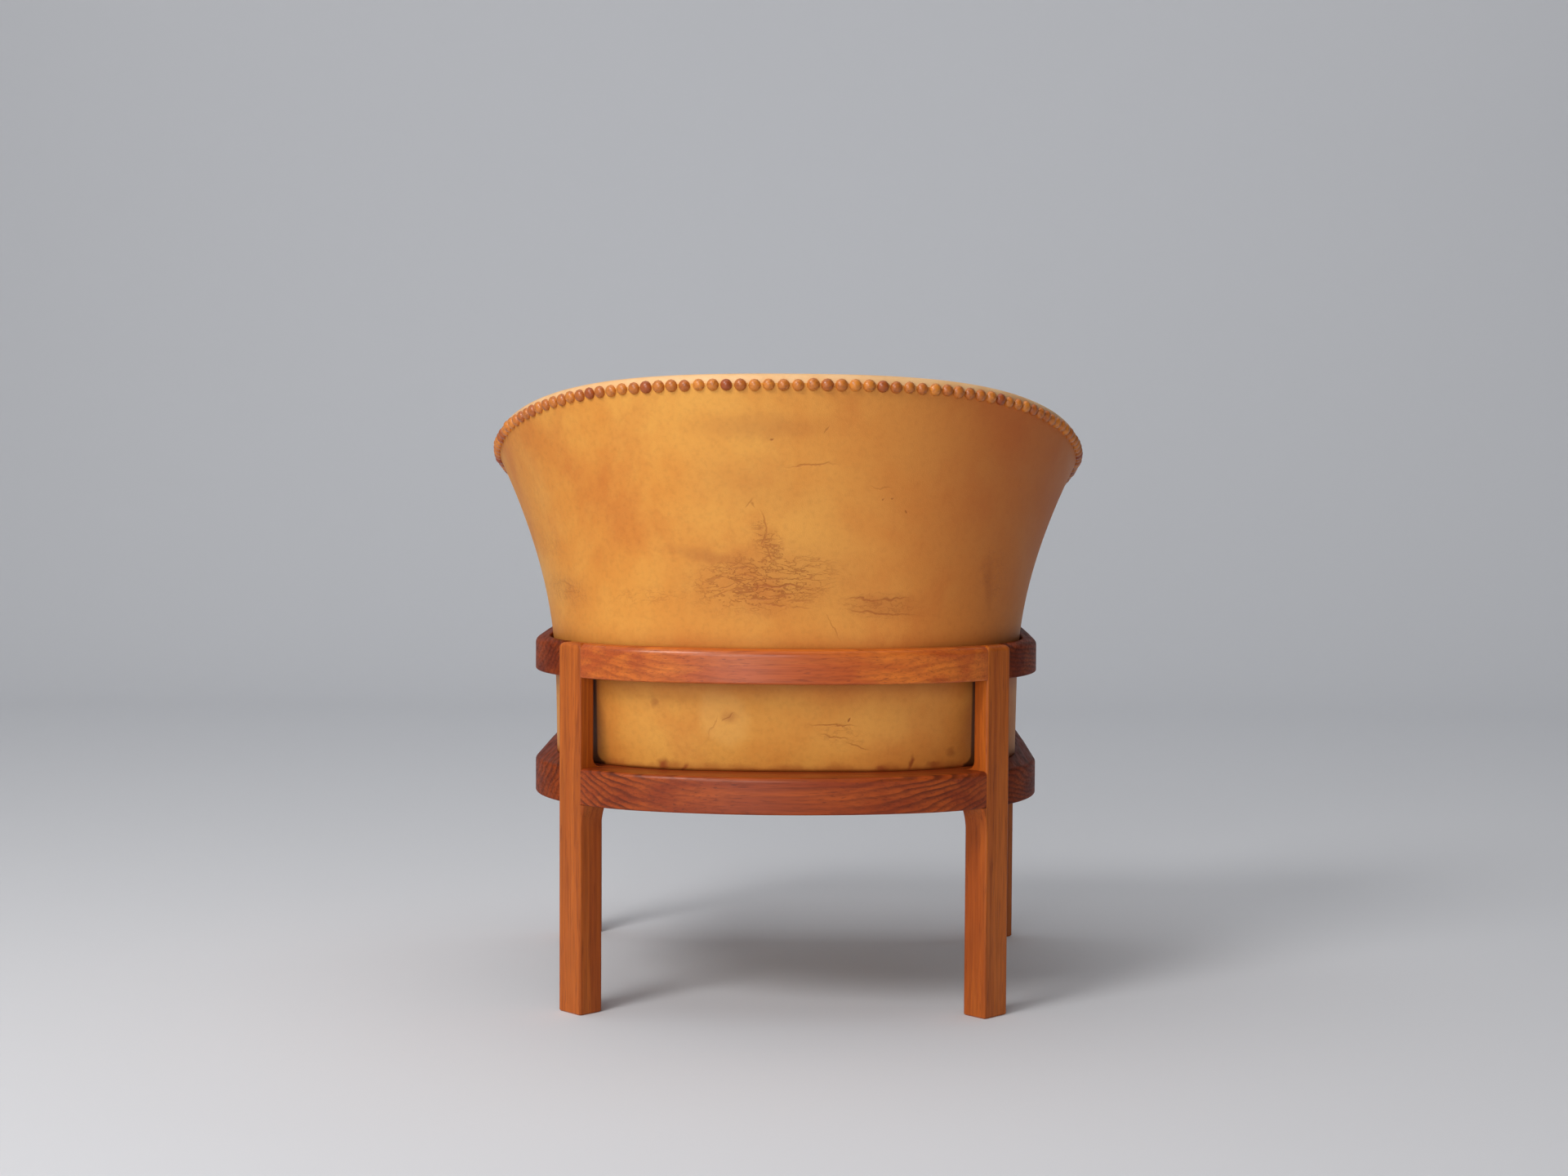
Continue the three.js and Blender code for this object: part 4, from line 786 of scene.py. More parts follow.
# A painted shadow line on the hide in the gap beside each leg, with a round lower corner
side_off = skin.math("MAXIMUM", skin.math("SUBTRACT", skin.math("ABSOLUTE", x), LEG_SIDE), 0.0)
foot_off = skin.math("MAXIMUM", skin.math("SUBTRACT", LEG_FOOT, z), 0.0)
side_square, foot_square = skin.math("POWER", side_off, 2.0), skin.math("POWER", foot_off, 2.0)
off_leg = skin.math("SQRT", skin.math("ADD", side_square, foot_square))
leg_shadow_line = skin.times(skin.span(off_leg, 0.0095, 0.0125, 0.0, 0.85), skin.span(side_off, 0.0, 0.004))
leg_shadow_line = skin.times(leg_shadow_line, skin.span(z, 0.384, 0.388, 1.0, 0.0))
leg_shadow_line = skin.times(leg_shadow_line, skin.span(side_off, *BEHIND_LEG, 1.0, 0.0))
# Painted shade on the side off the light: towards -X, and more of it higher up
off_light_shade = skin.times(skin.span(x, 0.06, -0.27, 0.0, 0.66), skin.span(z, 0.3, 0.62, 0.45, 1.0))
pale = marks([(66, 345, 34, 26, math.degrees(1.2), 0.25)], 0.25)
for share, shade in (
    (pale, (232, 178, 100)), (off_light_shade, (194, 97, 47)), (rail_shadow_and_dark_bands, (156, 74, 28)), (stained, (150, 72, 32)),
    (leg_shadow_line, (58, 24, 10)), (skin.times(worn, 0.75), (134, 54, 20)),
):
    colour = skin.mix(share, colour, tone(*shade))
height = skin.math("SUBTRACT", height, skin.times(worn, 2.5))
settle(piece, skin.finish(colour, roughness, height, 0.0002), "chair", "outside_leather", slot="hide")

# Inside leather
# A second hide over the padding, rolled over the rim and nailed outside just under it, where it shows as a
# lighter band above the nails. Both faces of the wall close on the free edge in half a circle.
ROLL = WALL_RIM / 2
PUFF, PUFF_WAVE, PUFF_HELD, PUFF_EASE = 0.6 * MM, 120 * MM, 20 * MM, 60 * MM
FROM_EDGE = np.array([14, 20, 30, 45, 65]) * MM
BAND = 1.16 * NAIL_LINE


def rolled(edge, base, inward, thick, round_radius, skin_inset):
    """How far each point stands from the wall's middle, by the half circle at the free edge, and the
    points of the inner face, with a slight puff between its fastenings."""
    level = np.sqrt(np.maximum(1 - ((ROLL - np.minimum(edge, ROLL)) / round_radius) ** 2, 0))
    reach = (thick / 2 - skin_inset) * level
    puff = PUFF * ripples(base, 8, PUFF_WAVE) * ease((edge - PUFF_HELD) / PUFF_EASE)
    return reach, base + inward * (thick / 2 + reach + puff)[..., None]


def merge_close(mesh):
    """Joins points that lie within a hundredth of a millimetre of each other."""
    reworked(mesh, lambda work: bmesh.ops.remove_doubles(work, verts=work.verts, dist=1e-5))


arc = np.linspace(0, QUARTER, 9)
edge_runs = np.concatenate([ROLL * (1 - np.cos(arc)), NAIL_LINE * np.array([0.95, 1.15]), FROM_EDGE])
angle, z, edge, base, inward = wall_layer(edge_runs, columns=130, rows=60)
thick = wall_thickness(angle, z)
reach, inner = rolled(edge, base, inward, thick, ROLL, 0)
outer = base + inward * (thick / 2 - reach)[..., None]
faces = grid_faces(*angle.shape)
band = faces[(edge.ravel()[faces] <= BAND).all(1)]
both = np.concatenate([outer.reshape(-1, 3), inner.reshape(-1, 3)])
both_faces = np.concatenate([wound(band, outer, -inward), wound(faces, inner, inward) + angle.size])
used = np.unique(both_faces)
renumber = np.zeros(len(both), int)
renumber[used] = np.arange(len(used))
from_edge = np.tile(edge.ravel(), 2)[used]
along = np.stack([from_edge, from_edge], -1)
piece = mesh_object("inside_leather_hide", both[used], renumber[both_faces], uv=along, sharp=3, closed=False)
merge_close(piece.data)
give_thickness(piece, LEATHER * 0.8)
INSIDE_TONES = tone(222, 160, 90), tone(212, 144, 72), tone(110, 58, 26), tone(190, 108, 52)
skin, colour, roughness, height = hide("inside hide", *INSIDE_TONES)
inside_hide = skin.finish(colour, roughness, height, 0.0002)
skin, colour, roughness, height = hide("rim hide", *INSIDE_TONES)
from_edge = skin.split(skin.node("UVMap", {"uv_map": "along"}).outputs[0])[0]
rubbed = skin.span(from_edge, 0.006, 0.014, 0.75, 0.0)
rubbed = skin.times(rubbed, skin.span(skin.noise(35, detail=4), 0.3, 0.65, 0.6, 1.0))
rim_hide = skin.finish(skin.mix(rubbed, colour, tone(238, 196, 146)), roughness, height, 0.0002)
settle(piece, rim_hide, "chair", "inside_leather", slot="hide_inside")

# Nails
# Domed upholstery nails covered in leather, each set by hand a little off true, side by side along the seam
# under the rim and down the arms' fronts.
NAIL_RADIUS, NAIL_RISE, NAIL_PITCH, NAIL_STAND = 6.9 * MM, 5.4 * MM, 15.6 * MM, 0.2 * MM
NAIL_FOOT = ARM_TOP + 8 * MM
NAIL_LEAN, NAIL_ASIDE, NAIL_ABOVE, NAIL_SMALL, NAIL_LARGE = 0.05, 0.35 * MM, 0.3 * MM, 0.95, 1.04
NAIL_SIDES = 12
front_drops = np.linspace(float(rim_height(END)) - NAIL_FOOT, NAIL_LINE, 200)
rim_runs = np.linspace(NAIL_LINE, END * TUB_SIDE, 1500)[1:]
run = np.concatenate([np.full(len(front_drops), NAIL_LINE), rim_runs])
drop = np.concatenate([front_drops, np.full(len(rim_runs), NAIL_LINE)])
angle, z = on_wall(1, run, drop)
length = np.concatenate([[0], np.cumsum(np.linalg.norm(np.diff(tub_point(angle, z), axis=0), axis=1))])
half_count = round(length[-1] / NAIL_PITCH)
stops = length[-1] - np.arange(half_count) * (length[-1] / half_count)
angle, z = np.interp(stops, length, angle), np.interp(stops, length, z)
angle, z = np.concatenate([angle, -angle[1:]]), np.concatenate([z, z[1:]])
foot, out = tub_point(angle, z), -tub_inward(angle, z)
count = len(foot)
wobble = np.random.default_rng(5)
out += wobble.normal(0, NAIL_LEAN, out.shape)
out /= np.linalg.norm(out, axis=1, keepdims=True)
across = np.cross(out, [0, 0, 1])
across /= np.linalg.norm(across, axis=1, keepdims=True)
up = np.cross(across, out)
tilt = np.radians([98, 90, 72, 52, 32, 14])[:, None]
spin = np.arange(NAIL_SIDES) * 2 * math.pi / NAIL_SIDES
size = wobble.uniform(NAIL_SMALL, NAIL_LARGE, count)[:, None, None, None]
foot = foot + across * wobble.normal(0, NAIL_ASIDE, count)[:, None]
foot = foot + up * wobble.normal(0, NAIL_ABOVE, count)[:, None]
radius, rise = NAIL_RADIUS * np.sin(tilt), NAIL_RISE * np.cos(tilt) + NAIL_STAND
rings = foot[:, None, None] + size * (
    across[:, None, None] * (radius * np.cos(spin))[None, ..., None]
    + up[:, None, None] * (radius * np.sin(spin))[None, ..., None]
    + out[:, None, None] * rise[None, ..., None]
)
tips = foot + out * (NAIL_RISE + NAIL_STAND) * size[:, 0, 0]
per_nail = len(tilt) * NAIL_SIDES
first = np.arange(count)[:, None] * per_nail
faces = (first[..., None] + grid_faces(len(tilt), NAIL_SIDES, closed_columns=True)).reshape(-1, 4)
k = np.arange(NAIL_SIDES)
top, tip = first + per_nail - NAIL_SIDES, count * per_nail + np.arange(count)[:, None]
tip_faces = np.stack(np.broadcast_arrays(top + k, top + (k + 1) % NAIL_SIDES, tip), -1).reshape(-1, 3)
caps = tip_faces.tolist() + (first + k[None, ::-1]).tolist()
piece = mesh_object("rim_nails", np.concatenate([rings.reshape(-1, 3), tips]), faces, caps=caps, sharp=1.2)
rubbed = wobble.beta(1.3, 1.6, count)
layer = piece.data.attributes.new("tone", "FLOAT", "POINT")
layer.data.foreach_set("value", np.concatenate([np.repeat(rubbed, per_nail), rubbed]).astype(np.float32))
cap = Finish("nail leather", 0.42, Specular_IOR_Level=0.3, Coat_Weight=0.5, Coat_Roughness=0.2)
own_tone = cap.node("Attribute", {"attribute_name": "tone"}).outputs["Fac"]
colour = cap.mix(own_tone, tone(214, 130, 44), tone(150, 62, 18))
colour = cap.mix(cap.span(cap.noise(260, detail=3), 0.45, 0.75, 0, 0.5), colour, tone(106, 42, 12))
nail_leather = cap.finish(colour, height=cap.noise(700, detail=2), depth=0.0003)
settle(piece, nail_leather, "chair", slot="hide")

# Padding of the tub
# Felted hair between the plywood core and the inside hide, wrapped over the core's rim and thickest at
# the small of the back. Only its edges can be seen, from below.
PLY = 7 * MM
SKIN = LEATHER + CLEAR
UNDER = SKIN + PLY + 2 * CLEAR
WRAP = LEATHER + PLY - CLEAR
WRAP_STEP = 0.05 * MM
wrap_round = ROLL - SKIN
arc = np.linspace(0, QUARTER, 7)
wrap_runs = SKIN + wrap_round * (1 - np.cos(arc))
edge_runs = np.concatenate([wrap_runs, [WRAP - WRAP_STEP, WRAP + WRAP_STEP], FROM_EDGE])
angle, z, edge, base, inward = wall_layer(edge_runs, columns=90, rows=40)
thick = wall_thickness(angle, z)
reach, inner = rolled(edge, base, inward, thick, wrap_round, SKIN)
outer = base + inward * np.where(edge < WRAP, thick / 2 - reach, UNDER)[..., None]
count, columns = angle.size, angle.shape[1]
foot_row = count - columns + np.arange(columns - 1)
foot_faces = np.stack([foot_row, foot_row + 1, foot_row + 1 + count, foot_row + count], -1)
faces = grid_faces(*angle.shape)
piece = mesh_object(
    "inside_padding_felt", np.concatenate([outer.reshape(-1, 3), inner.reshape(-1, 3)]),
    np.concatenate([faces, faces + count, foot_faces]), closed=False,
)
merge_close(piece.data)
point_out(piece.data)
felt = Finish("felted padding", 0.95, Sheen_Weight=0.3)
fuzz = felt.noise(300, detail=5, rough=0.7)
felted = felt.finish(felt.mix(fuzz, tone(206, 196, 174), tone(168, 152, 124)), height=fuzz, depth=0.001)
settle(piece, felted, "chair", "inside_padding", slot="padding")

# Plywood core and bearers
# The core is bent ply, and the bearers are raw hardwood bars screwed to its inside. Both are rigid and
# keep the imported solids' shapes.
ply = Finish("bent plywood", 0.7)
layers = ply.math("FRACT", ply.times(ply.noise(30, detail=2), 6.0))
raw_ply = ply.finish(ply.mix(layers, tone(196, 164, 118), tone(160, 124, 80)), height=layers, depth=0.0002)
raw_timber = timber(
    "raw bearer", "x", tone(214, 182, 134), tone(198, 160, 108), tone(160, 116, 70), 6 * MM, 0.3, rough=0.6
)
bearers = [f"seat_frame_{place}" for place in ("front", "rear", "left", "right")]
for node, material in (("tub_shell", raw_ply), *((bearer, raw_timber) for bearer in bearers)):
    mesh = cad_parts[node].data
    mesh.materials.clear()
    mesh.materials.append(material)

# Webbing
# Jute straps, ten in all, woven over and under each other, pulled tight and tacked down on the bearers at
# both ends. They carry the hessian, the pad and the cushion.
WEB_WIDE, WEB_THICK = 52 * MM, 1.8 * MM
WEB_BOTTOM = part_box("cross_webbing_1")[0].z
WEB_RISE = WEB_THICK + CLEAR
STRAPS = range(1, 6)


def weave(name, light, dark, count):
    """Plain weave: two sets of yarns, each a sine across its run, that pass over each other by turns."""
    cloth = Finish(name, 0.9, Sheen_Weight=0.2)
    x, y, _ = cloth.split()
    over = cloth.times(cloth.math("SINE", cloth.times(x, count)), cloth.math("SINE", cloth.times(y, count)))
    shade = cloth.math("ADD", cloth.times(over, 0.35), cloth.noise(200, detail=3))
    return cloth.finish(cloth.mix(cloth.span(shade, 0.2, 0.9), dark, light), height=shade, depth=0.0008)


def strap(node, axis, crossings, phase):
    """A flat section with round edges, carried along axis. Its height holds at each crossing, over or
    under, and goes from one to the next by ease."""
    low, high = (np.array(corner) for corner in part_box(node))
    across = 1 - axis
    stops, lifts = [low[axis]], [0.0]
    for number, crossing in enumerate(crossings):
        for stop in (crossing - WEB_WIDE / 2, crossing + WEB_WIDE / 2):
            if low[axis] < stop < high[axis]:
                stops.append(stop)
                lifts.append(WEB_RISE if (number + phase) % 2 == 0 else 0.0)
    stops, lifts = np.array([*stops, high[axis]]), np.array([*lifts, 0.0])
    run = np.unique(np.concatenate([np.linspace(low[axis], high[axis], 120), stops]))
    left = np.clip(np.searchsorted(stops, run, side="right") - 1, 0, len(stops) - 2)
    share = (run - stops[left]) / (stops[left + 1] - stops[left])
    height = WEB_BOTTOM + lifts[left] + (lifts[left + 1] - lifts[left]) * ease(share)
    turn = np.linspace(-QUARTER, QUARTER, 5)
    half = WEB_THICK / 2 - 0.05 * MM
    edge = WEB_WIDE / 2 - half
    aside = np.concatenate([edge + half * np.cos(turn), -edge - half * np.cos(turn[::-1])])
    rise = np.concatenate([half * np.sin(turn), half * np.sin(turn[::-1])]) + WEB_THICK / 2
    points = np.zeros((len(run), len(aside), 3))
    points[..., axis] = run[:, None]
    points[..., across] = (low[across] + high[across]) / 2 + aside
    points[..., 2] = height[:, None] + rise
    points[..., 1] -= ORIGIN_Y
    return lofted(node + "_strap", points)


def strap_places(name, axis):
    """Where the middles of a set of straps lie."""
    boxes = [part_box(f"{name}_webbing_{k}") for k in STRAPS]
    return [(low[axis] + high[axis]) / 2 for low, high in boxes]


jute = weave("jute webbing", tone(196, 160, 108), tone(122, 92, 54), 2600.0)
cross_places, long_places = strap_places("cross", 1), strap_places("long", 0)
for k in STRAPS:
    for name, axis, crossings, phase in (("cross", 0, long_places, k - 1), ("long", 1, cross_places, k)):
        node = f"{name}_webbing_{k}"
        settle(strap(node, axis, crossings, phase), jute, "chair", node, slot="webbing")

# Hessian
# One open-woven cloth, cut to the seat's outline, stretched over the webbing and tacked to the bearers,
# to carry the pad.
FRAME_FRONT, SEAT_CORNER, DECK_GAP = -511 * MM, 34 * MM, 2 * MM
HESSIAN_THICK, MIDDLE = 1.0 * MM, 0.02


def seat_outline(z, gap, count=360):
    """Points evenly spaced round the seat: the wall's inner face at a height, less a gap, then round
    corners and a straight front."""
    angle = np.linspace(0, END, 3000)
    level = np.full(angle.shape, z)
    inset = wall_thickness(angle, level) + gap
    wall = tub_point(angle, level) + tub_inward(angle, level) * inset[:, None]
    turn = np.linspace(0, QUARTER, 60)[1:]
    x, y = wall[-1, 0] - SEAT_CORNER, FRAME_FRONT + SEAT_CORNER
    corner = np.stack([x + SEAT_CORNER * np.cos(turn), y - SEAT_CORNER * np.sin(turn)], -1)
    half = np.concatenate([wall[:, :2], corner])
    loop = np.concatenate([half, half[::-1] * [-1, 1]])
    length = np.concatenate([[0], np.cumsum(np.hypot(*np.diff(loop, axis=0).T))])
    stops = np.linspace(0, length[-1], count, endpoint=False)
    return np.stack([np.interp(stops, length, loop[:, k]) for k in (0, 1)], -1)


def ringed(outline, shares, insets):
    """Copies of an outline drawn towards its middle: the middle plus share (length - inset) / length of
    each spoke."""
    middle = np.array([0, (outline[:, 1].max() + outline[:, 1].min()) / 2])
    spokes = outline - middle
    length = np.linalg.norm(spokes, axis=1)
    reach = np.asarray(shares)[:, None] * (length - np.asarray(insets)[:, None]) / length
    return middle, middle + spokes * reach[..., None]


def disc_fan(columns, first, pole, upward):
    """Triangles from a ring to the point in its middle. The rings run clockwise seen from above."""
    k = np.arange(columns)
    ring = [first + (k + 1) % columns, first + k] if upward else [first + k, first + (k + 1) % columns]
    return np.stack([*ring, np.full(columns, pole)], -1)


hessian_low, hessian_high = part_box("hessian")
outline = seat_outline(hessian_low.z, DECK_GAP)
middle, flat = ringed(outline, np.linspace(MIDDLE, 1, 30), np.zeros(30))
points = np.concatenate([flat.reshape(-1, 2), [middle]])
points = np.concatenate([points, np.full((len(points), 1), hessian_high.z - 0.1 * MM)], -1)
rows, columns = flat.shape[:2]
fan = disc_fan(columns, 0, rows * columns, True)
faces = grid_faces(rows, columns, closed_columns=True)
piece = mesh_object("hessian_cloth", points, faces, caps=fan, closed=False, sharp=3)
give_thickness(piece, HESSIAN_THICK)
hessian_weave = weave("hessian", tone(186, 156, 112), tone(116, 90, 56), 1900.0)
settle(piece, hessian_weave, "chair", "hessian", slot="hessian")

# Seat pad
# A thin felted pad over the hessian, quilted in squares by stitches that draw its top down, with round
# edges. The loose cushion rests on it.
QUILT, STITCH_DEPTH, STITCH_WIDE, PAD_ROUND = 62 * MM, 2.4 * MM, 5 * MM, 5 * MM
CROWN_RINGS = 55


def closed_rings(name, middle, flat, heights, poles):
    """Rings of points at their heights, closed by a fan of triangles to a pole at the bottom and at the
    top."""
    level = np.broadcast_to(heights, flat.shape[:2])[..., None]
    points = np.concatenate([flat, level], -1).reshape(-1, 3)
    points = np.concatenate([points, [[*middle, pole] for pole in poles]])
    rows, columns = flat.shape[:2]
    last = rows * columns
    fans = [*disc_fan(columns, 0, last, False), *disc_fan(columns, last - columns, last + 1, True)]
    return mesh_object(name, points, grid_faces(rows, columns, closed_columns=True), caps=fans, sharp=3)


pad_low, pad_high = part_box("seat_pad")
turn = np.linspace(0, QUARTER, 6)
crown = np.linspace(MIDDLE, 1, CROWN_RINGS + 1)
drawn = PAD_ROUND * (1 - np.sin(turn)) + 0.3 * MM
rise = PAD_ROUND * (1 - np.cos(turn))
shares = np.concatenate([crown[:-1], np.ones(2 * len(turn)), crown[-2::-1]])
held = np.full(CROWN_RINGS, PAD_ROUND)
insets = np.concatenate([held, drawn, drawn[::-1], held])
level = np.ones(CROWN_RINGS)
heights = [pad_low.z * level, pad_low.z + rise, pad_high.z - rise[::-1], pad_high.z * level]
heights = np.concatenate(heights)
middle, flat = ringed(seat_outline(pad_low.z, DECK_GAP), shares, insets)
seam = np.abs(np.mod(flat / QUILT + 0.5, 1) - 0.5).min(-1) * QUILT
on_top = (np.arange(len(shares)) > len(shares) - CROWN_RINGS + 1)[:, None]
stitched = STITCH_DEPTH * np.exp(-((seam / STITCH_WIDE) ** 2)) * on_top
poles = (pad_low.z, pad_high.z - STITCH_DEPTH)
piece = closed_rings("seat_pad_quilt", middle, flat, heights[:, None] - stitched, poles)
settle(piece, felted, "chair", "seat_pad", slot="padding")

# Border leather
# A strip of the inside hide that covers the front bearer and the pad's front edge, and laps back under the
# cushion to a stitched hem. A tab at each end hides the ends of the bearer and of the pad.
BEND = 5 * MM
border_low, border_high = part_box("seat_border_leather")
TAB_FROM, TAB_TO = border_high.x + 0.1 * MM, border_high.x + LEATHER
face_y, top_z, lap_y = border_low.y - ORIGIN_Y, border_high.z, border_high.y - ORIGIN_Y


def border_line(inset):
    """The strip's line from its foot, up, round the bend and back to the hem, moved in by inset."""
    arc = np.linspace(0, QUARTER, 9)
    front = np.linspace(border_low.z, top_z - BEND - 1 * MM, 8)
    lap = np.linspace(face_y + BEND + 1 * MM, lap_y, 10)
    y = np.concatenate([np.full(8, face_y + inset), face_y + BEND - (BEND - inset) * np.cos(arc), lap])
    z = np.concatenate([front, top_z - BEND + (BEND - inset) * np.sin(arc), np.full(10, top_z - inset)])
    return np.stack([y, z], -1)


profile = np.concatenate([border_line(0), border_line(LEATHER)[::-1]])
tab = np.concatenate([border_line(0), [[lap_y, border_low.z]]])
parts = [(profile, np.linspace(border_low.x, border_high.x, 90))]
parts += [(tab, side * np.array([TAB_FROM, TAB_TO])) for _, side in HANDS]
points, faces, caps = np.empty((0, 3)), np.empty((0, 4), int), []
for section, stations in parts:
    first, rows, columns = len(points), len(stations), len(section)
    points = np.concatenate([points, *(np.insert(section, 0, x, axis=1) for x in stations)])
    faces = np.concatenate([faces, grid_faces(rows, columns, closed_columns=True) + first])
    caps += end_caps(rows, columns, first)
piece = mesh_object("seat_border_hide", points, faces, caps=caps)
cut(piece, [leg_room("front", side, (border_low.z, border_high.z)) for _, side in HANDS])
settle(piece, inside_hide, "chair", "seat_border_leather", slot="hide_inside")

# Loose cushion
# A full box cushion in the inside hide: crowned top and bottom panels, a band that pulls in at both
# seams, and piping along them. The panels swell between the seams by simulation, held in to the seat's
# outline.
CUSHION_GAP, DRAW_IN, CROWN, UNDER_CROWN, CROWN_POWER = 3 * MM, 5 * MM, 24 * MM, 10 * MM, 2.6
SLACK, BULGE, PRESSURE, MOST = 0.42, 4.4 * MM, 4.0, 13.5 * MM
VOXEL, FADE, FRAMES, WRINKLE, WRINKLE_WAVE, KEEP_IN = 6 * MM, 40 * MM, 20, 0.5 * MM, 90 * MM, 0.4 * MM
PIPING, PIPING_OUT, PIPING_IN, PIPING_SIDES = 3.1 * MM, 1.3 * MM, 1.2 * MM, 10
cushion_low, cushion_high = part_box("seat_cushion")
low_seam, high_seam = cushion_low.z + UNDER_CROWN, cushion_high.z - CROWN
outline = seat_outline(cushion_low.z, CUSHION_GAP)
middle, seam_line = ringed(outline, [1.0], [DRAW_IN + PIPING_OUT])


def cushion_form(fullness, bulge):
    """Rings from the bottom's middle over the band to the top's middle: the crowns rise by 1 - share^2.6
    and the band swells by a sine between its seams."""
    share = np.sin(np.linspace(2 * MIDDLE, QUARTER, 26))
    up = np.linspace(0, 1, 9)[1:-1]
    held = np.full(len(share), DRAW_IN)
    shares = np.concatenate([share, np.ones(len(up)), share[::-1]])
    insets = np.concatenate([held, DRAW_IN - bulge * np.sin(math.pi * up), held])
    crown = fullness * (1 - share**CROWN_POWER)
    band = low_seam + (high_seam - low_seam) * up
    heights = np.concatenate([low_seam - UNDER_CROWN * crown, band, high_seam + CROWN * crown[::-1]])
    middle, flat = ringed(outline, shares, insets)
    return closed_rings("seat_cushion_box", middle, flat, heights[:, None], (heights[0], heights[-1]))


def baked(piece):
    """Puts what the piece's modifiers make into its mesh, and takes the modifiers off."""
    shaped = piece.evaluated_get(bpy.context.evaluated_depsgraph_get())
    piece.data = bpy.data.meshes.new_from_object(shaped)
    piece.modifiers.clear()


def places(mesh):
    """The points of a mesh as rows."""
    flat = np.zeros(len(mesh.vertices) * 3)
    mesh.vertices.foreach_get("co", flat)
    return flat.reshape(-1, 3)


def swell(piece):
    """Blows the form up as cloth. Each point's move is kept under MOST and fades out at the seams by
    1 - exp(-distance / FADE), and ripples are added. Then the piece is held inside the outline and between
    its two levels, smoothed and divided once."""
    remesh = piece.modifiers.new("remesh", "REMESH")
    remesh.mode, remesh.voxel_size = "VOXEL", VOXEL
    baked(piece)
    start = places(piece.data)
    cloth = piece.modifiers.new("cloth", "CLOTH")
    cloth.settings.use_pressure, cloth.settings.uniform_pressure_force = True, PRESSURE
    cloth.settings.effector_weights.gravity = 0
    for number in range(1, FRAMES + 1):
        bpy.context.scene.frame_set(number)
    blown = places(piece.evaluated_get(bpy.context.evaluated_depsgraph_get()).data)
    piece.modifiers.clear()
    move = blown - start
    move *= np.minimum(1, MOST / np.maximum(np.linalg.norm(move, axis=1), 1e-9))[:, None]
    centre, edge = middle + [0, ORIGIN_Y], outline - middle
    turn, out_to = np.arctan2(edge[:, 1], edge[:, 0]), np.linalg.norm(edge, axis=1)
    order = np.argsort(turn)
    spokes = start[:, :2] - centre
    ways = np.arctan2(spokes[:, 1], spokes[:, 0])
    full = np.interp(ways, turn[order], out_to[order], period=2 * math.pi)
    inside = full - DRAW_IN - np.linalg.norm(spokes, axis=1)
    low_off, high_off = (np.hypot(inside, start[:, 2] - seam) for seam in (low_seam, high_seam))
    off_seam = np.minimum(low_off, high_off)[:, None]
    made = start + move * (1 - np.exp(-off_seam / FADE))
    made += ripples(start, 21, WRINKLE_WAVE)[:, None] * WRINKLE * ease(off_seam / FADE) * [0, 0, 1]
    spokes = made[:, :2] - centre
    length = np.linalg.norm(spokes, axis=1)
    made[:, :2] -= spokes * (np.maximum(length - full + KEEP_IN, 0) / np.maximum(length, 1e-9))[:, None]
    made[:, 2] = np.clip(made[:, 2], cushion_low.z, cushion_high.z)
    piece.data.vertices.foreach_set("co", made.ravel())
    bpy.context.scene.frame_set(1)
    smooth = piece.modifiers.new("smooth", "SMOOTH")
    smooth.factor, smooth.iterations = 0.5, 2
    finer = piece.modifiers.new("finer", "SUBSURF")
    finer.levels = finer.render_levels = 1
    baked(piece)
    piece.data.shade_smooth()


piece = cushion_form(SLACK, 0.0)
swell(piece)
settle(piece, inside_hide, "cushion", "seat_cushion", slot="hide_inside")

# The piping is a round tube carried along each seam
ahead = np.roll(seam_line[0], -1, axis=0) - np.roll(seam_line[0], 1, axis=0)
sideways = np.stack([-ahead[:, 1], ahead[:, 0]], -1) / np.linalg.norm(ahead, axis=1, keepdims=True)
spin = np.arange(PIPING_SIDES) * 2 * math.pi / PIPING_SIDES
for name, level in (("low", low_seam + PIPING_IN), ("high", high_seam - PIPING_IN)):
    flat = seam_line[0][:, None] + sideways[:, None] * (PIPING * np.cos(spin))[:, None]
    tube_z = np.broadcast_to(level + PIPING * np.sin(spin), flat.shape[:2])
    tube = np.concatenate([flat, tube_z[..., None]], -1)
    faces = grid_faces(*flat.shape[:2], True, True)
    piece = mesh_object(f"seat_cushion_piping_{name}", tube, faces, sharp=3)
    settle(piece, inside_hide, "cushion", slot="hide_inside")

# Floor, light and camera
# A pale paper sweep that bends up to a wall, one large soft key from the upper left of the camera, and a
# soft surround that is brighter on that side.
SWEEP_NEAR, SWEEP_FAR, SWEEP_ROUND, SWEEP_WALL, SWEEP_TOP, SWEEP_HALF = 6.0, -3.4, 1.6, -5.0, 8.0, 9.0
sweep = np.array([[y, 0.0] for y in np.linspace(SWEEP_NEAR, SWEEP_FAR, 12)])
bend = np.linspace(0, QUARTER, 16)[1:]
risen = np.stack([SWEEP_FAR - SWEEP_ROUND * np.sin(bend), SWEEP_ROUND * (1 - np.cos(bend))], -1)
sweep = np.concatenate([sweep, risen, [[SWEEP_WALL, SWEEP_TOP]]])
points = np.stack([np.insert(sweep, 0, x, axis=1) for x in (-SWEEP_HALF, SWEEP_HALF)])
floor = mesh_object("floor", points, grid_faces(2, len(sweep))[:, ::-1], closed=False, sharp=3)
paper = Finish("paper", 0.9)
_, paper_y, _ = paper.split()
# The paper is painted a little darker near the camera and lighter towards the wall: painted shade and
# painted light
near_paper_painted_shade = paper.mix(paper.span(paper_y, 0.3, 1.6), tone(221, 221, 223), tone(216, 216, 219))
paper_painted_light_and_shade = paper.mix(paper.span(paper_y, -0.4, -3.6), near_paper_painted_shade, tone(224, 225, 228))
floor.data.materials.append(paper.finish(paper_painted_light_and_shade))


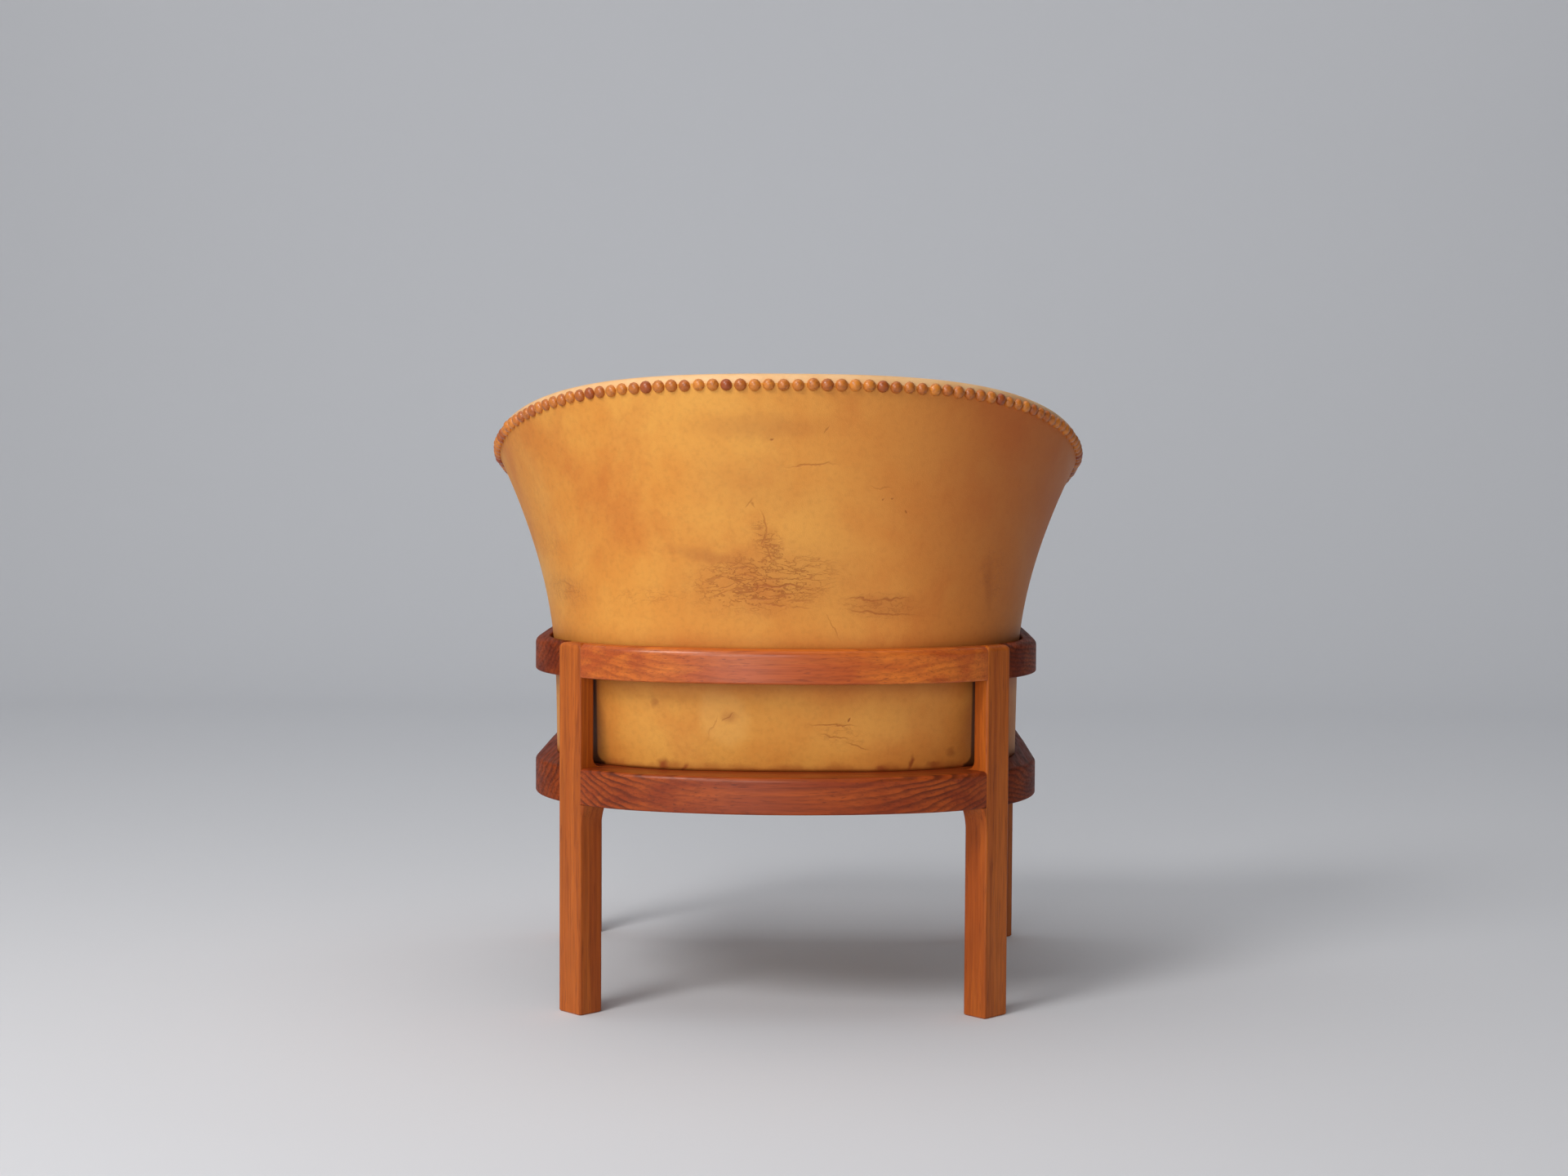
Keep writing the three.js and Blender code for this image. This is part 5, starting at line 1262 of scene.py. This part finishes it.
def lamp(name, place, aim, size, power, tint=(1, 1, 1)):
    """A round soft lamp at a place, turned towards its aim."""
    light = bpy.data.lights.new(name, "AREA")
    light.shape, light.size, light.energy, light.color = "DISK", size, power, tint
    made = bpy.data.objects.new(name, light)
    bpy.context.scene.collection.objects.link(made)
    made.rotation_euler = (Vector(aim) - Vector(place)).to_track_quat("-Z", "Y").to_euler()
    made.location = place


lamp("key", (1.75, 2.35, 2.6), (0, 0.1, 0.45), 1.3, 60)
lamp("front fill", (1.0, 4.4, 1.2), (0, 0.0, 0.4), 2.4, 68)
lamp("overhead", (0.2, 0.2, 3.6), (0.0, 0.0, 0.0), 3.2, 26, (0.96, 0.98, 1.0))
for side in (1, -1):
    lamp(f"backdrop {side}", (side * 2.2, -1.5, 4.0), (side * 2.2, -5.0, 1.4), 1.5, 15)

# The surround glows by direction, dimly towards -X and brightly towards +X
GLOW_FROM, GLOW_TO, GLOW_DIM, GLOW_BRIGHT = -0.6, 0.8, 0.11, 0.52
world = bpy.data.worlds.new("surround")
bpy.context.scene.world = world
world.use_nodes = True
nodes, links = world.node_tree.nodes, world.node_tree.links
nodes["Background"].inputs[0].default_value = (0.82, 0.84, 0.88, 1)
sides_of = nodes.new("ShaderNodeSeparateXYZ")
links.new(nodes.new("ShaderNodeTexCoord").outputs["Generated"], sides_of.inputs[0])
brighter = nodes.new("ShaderNodeMapRange")
brighter.interpolation_type = "SMOOTHSTEP"
for index, value in enumerate((GLOW_FROM, GLOW_TO, GLOW_DIM, GLOW_BRIGHT), 1):
    brighter.inputs[index].default_value = value
links.new(sides_of.outputs[0], brighter.inputs[0])
links.new(brighter.outputs[0], nodes["Background"].inputs[1])

# The camera stands behind the chair, a little to its right, looks slightly down and leans a little
CAMERA_SIDE, CAMERA_TILT, CAMERA_ROLL = np.radians([0.9, 3.0, 0.30])
CAMERA_AWAY, CAMERA_HEIGHT, CAMERA_AIM = 2.664, 0.6264, 0.0002
FOCAL_PIXELS, PHOTO_PIXELS, SENSOR = 2920, 1920, 36
camera_data = bpy.data.cameras.new("camera")
camera = bpy.data.objects.new("camera", camera_data)
bpy.context.scene.collection.objects.link(camera)
bpy.context.scene.camera = camera
camera_data.sensor_width = SENSOR
camera_data.lens = FOCAL_PIXELS / PHOTO_PIXELS * SENSOR
sine, cosine = math.sin(CAMERA_SIDE), math.cos(CAMERA_SIDE)
stand = (CAMERA_AIM - CAMERA_AWAY * sine, CAMERA_AWAY * cosine + ORIGIN_Y, CAMERA_HEIGHT)
level = math.cos(CAMERA_TILT)
ahead = np.array([sine * level, -cosine * level, -math.sin(CAMERA_TILT)])
right = np.cross(ahead, [0, 0, 1])
right /= np.linalg.norm(right)
upward = np.cross(right, ahead)
roll_sine, roll_cosine = math.sin(CAMERA_ROLL), math.cos(CAMERA_ROLL)
basis = np.eye(4)
basis[:3, 0] = right * roll_cosine + upward * roll_sine
basis[:3, 1] = upward * roll_cosine - right * roll_sine
basis[:3, 2], basis[:3, 3] = -ahead, stand
camera.matrix_world = Matrix(basis.tolist())
bpy.context.scene.view_settings.view_transform = "Standard"
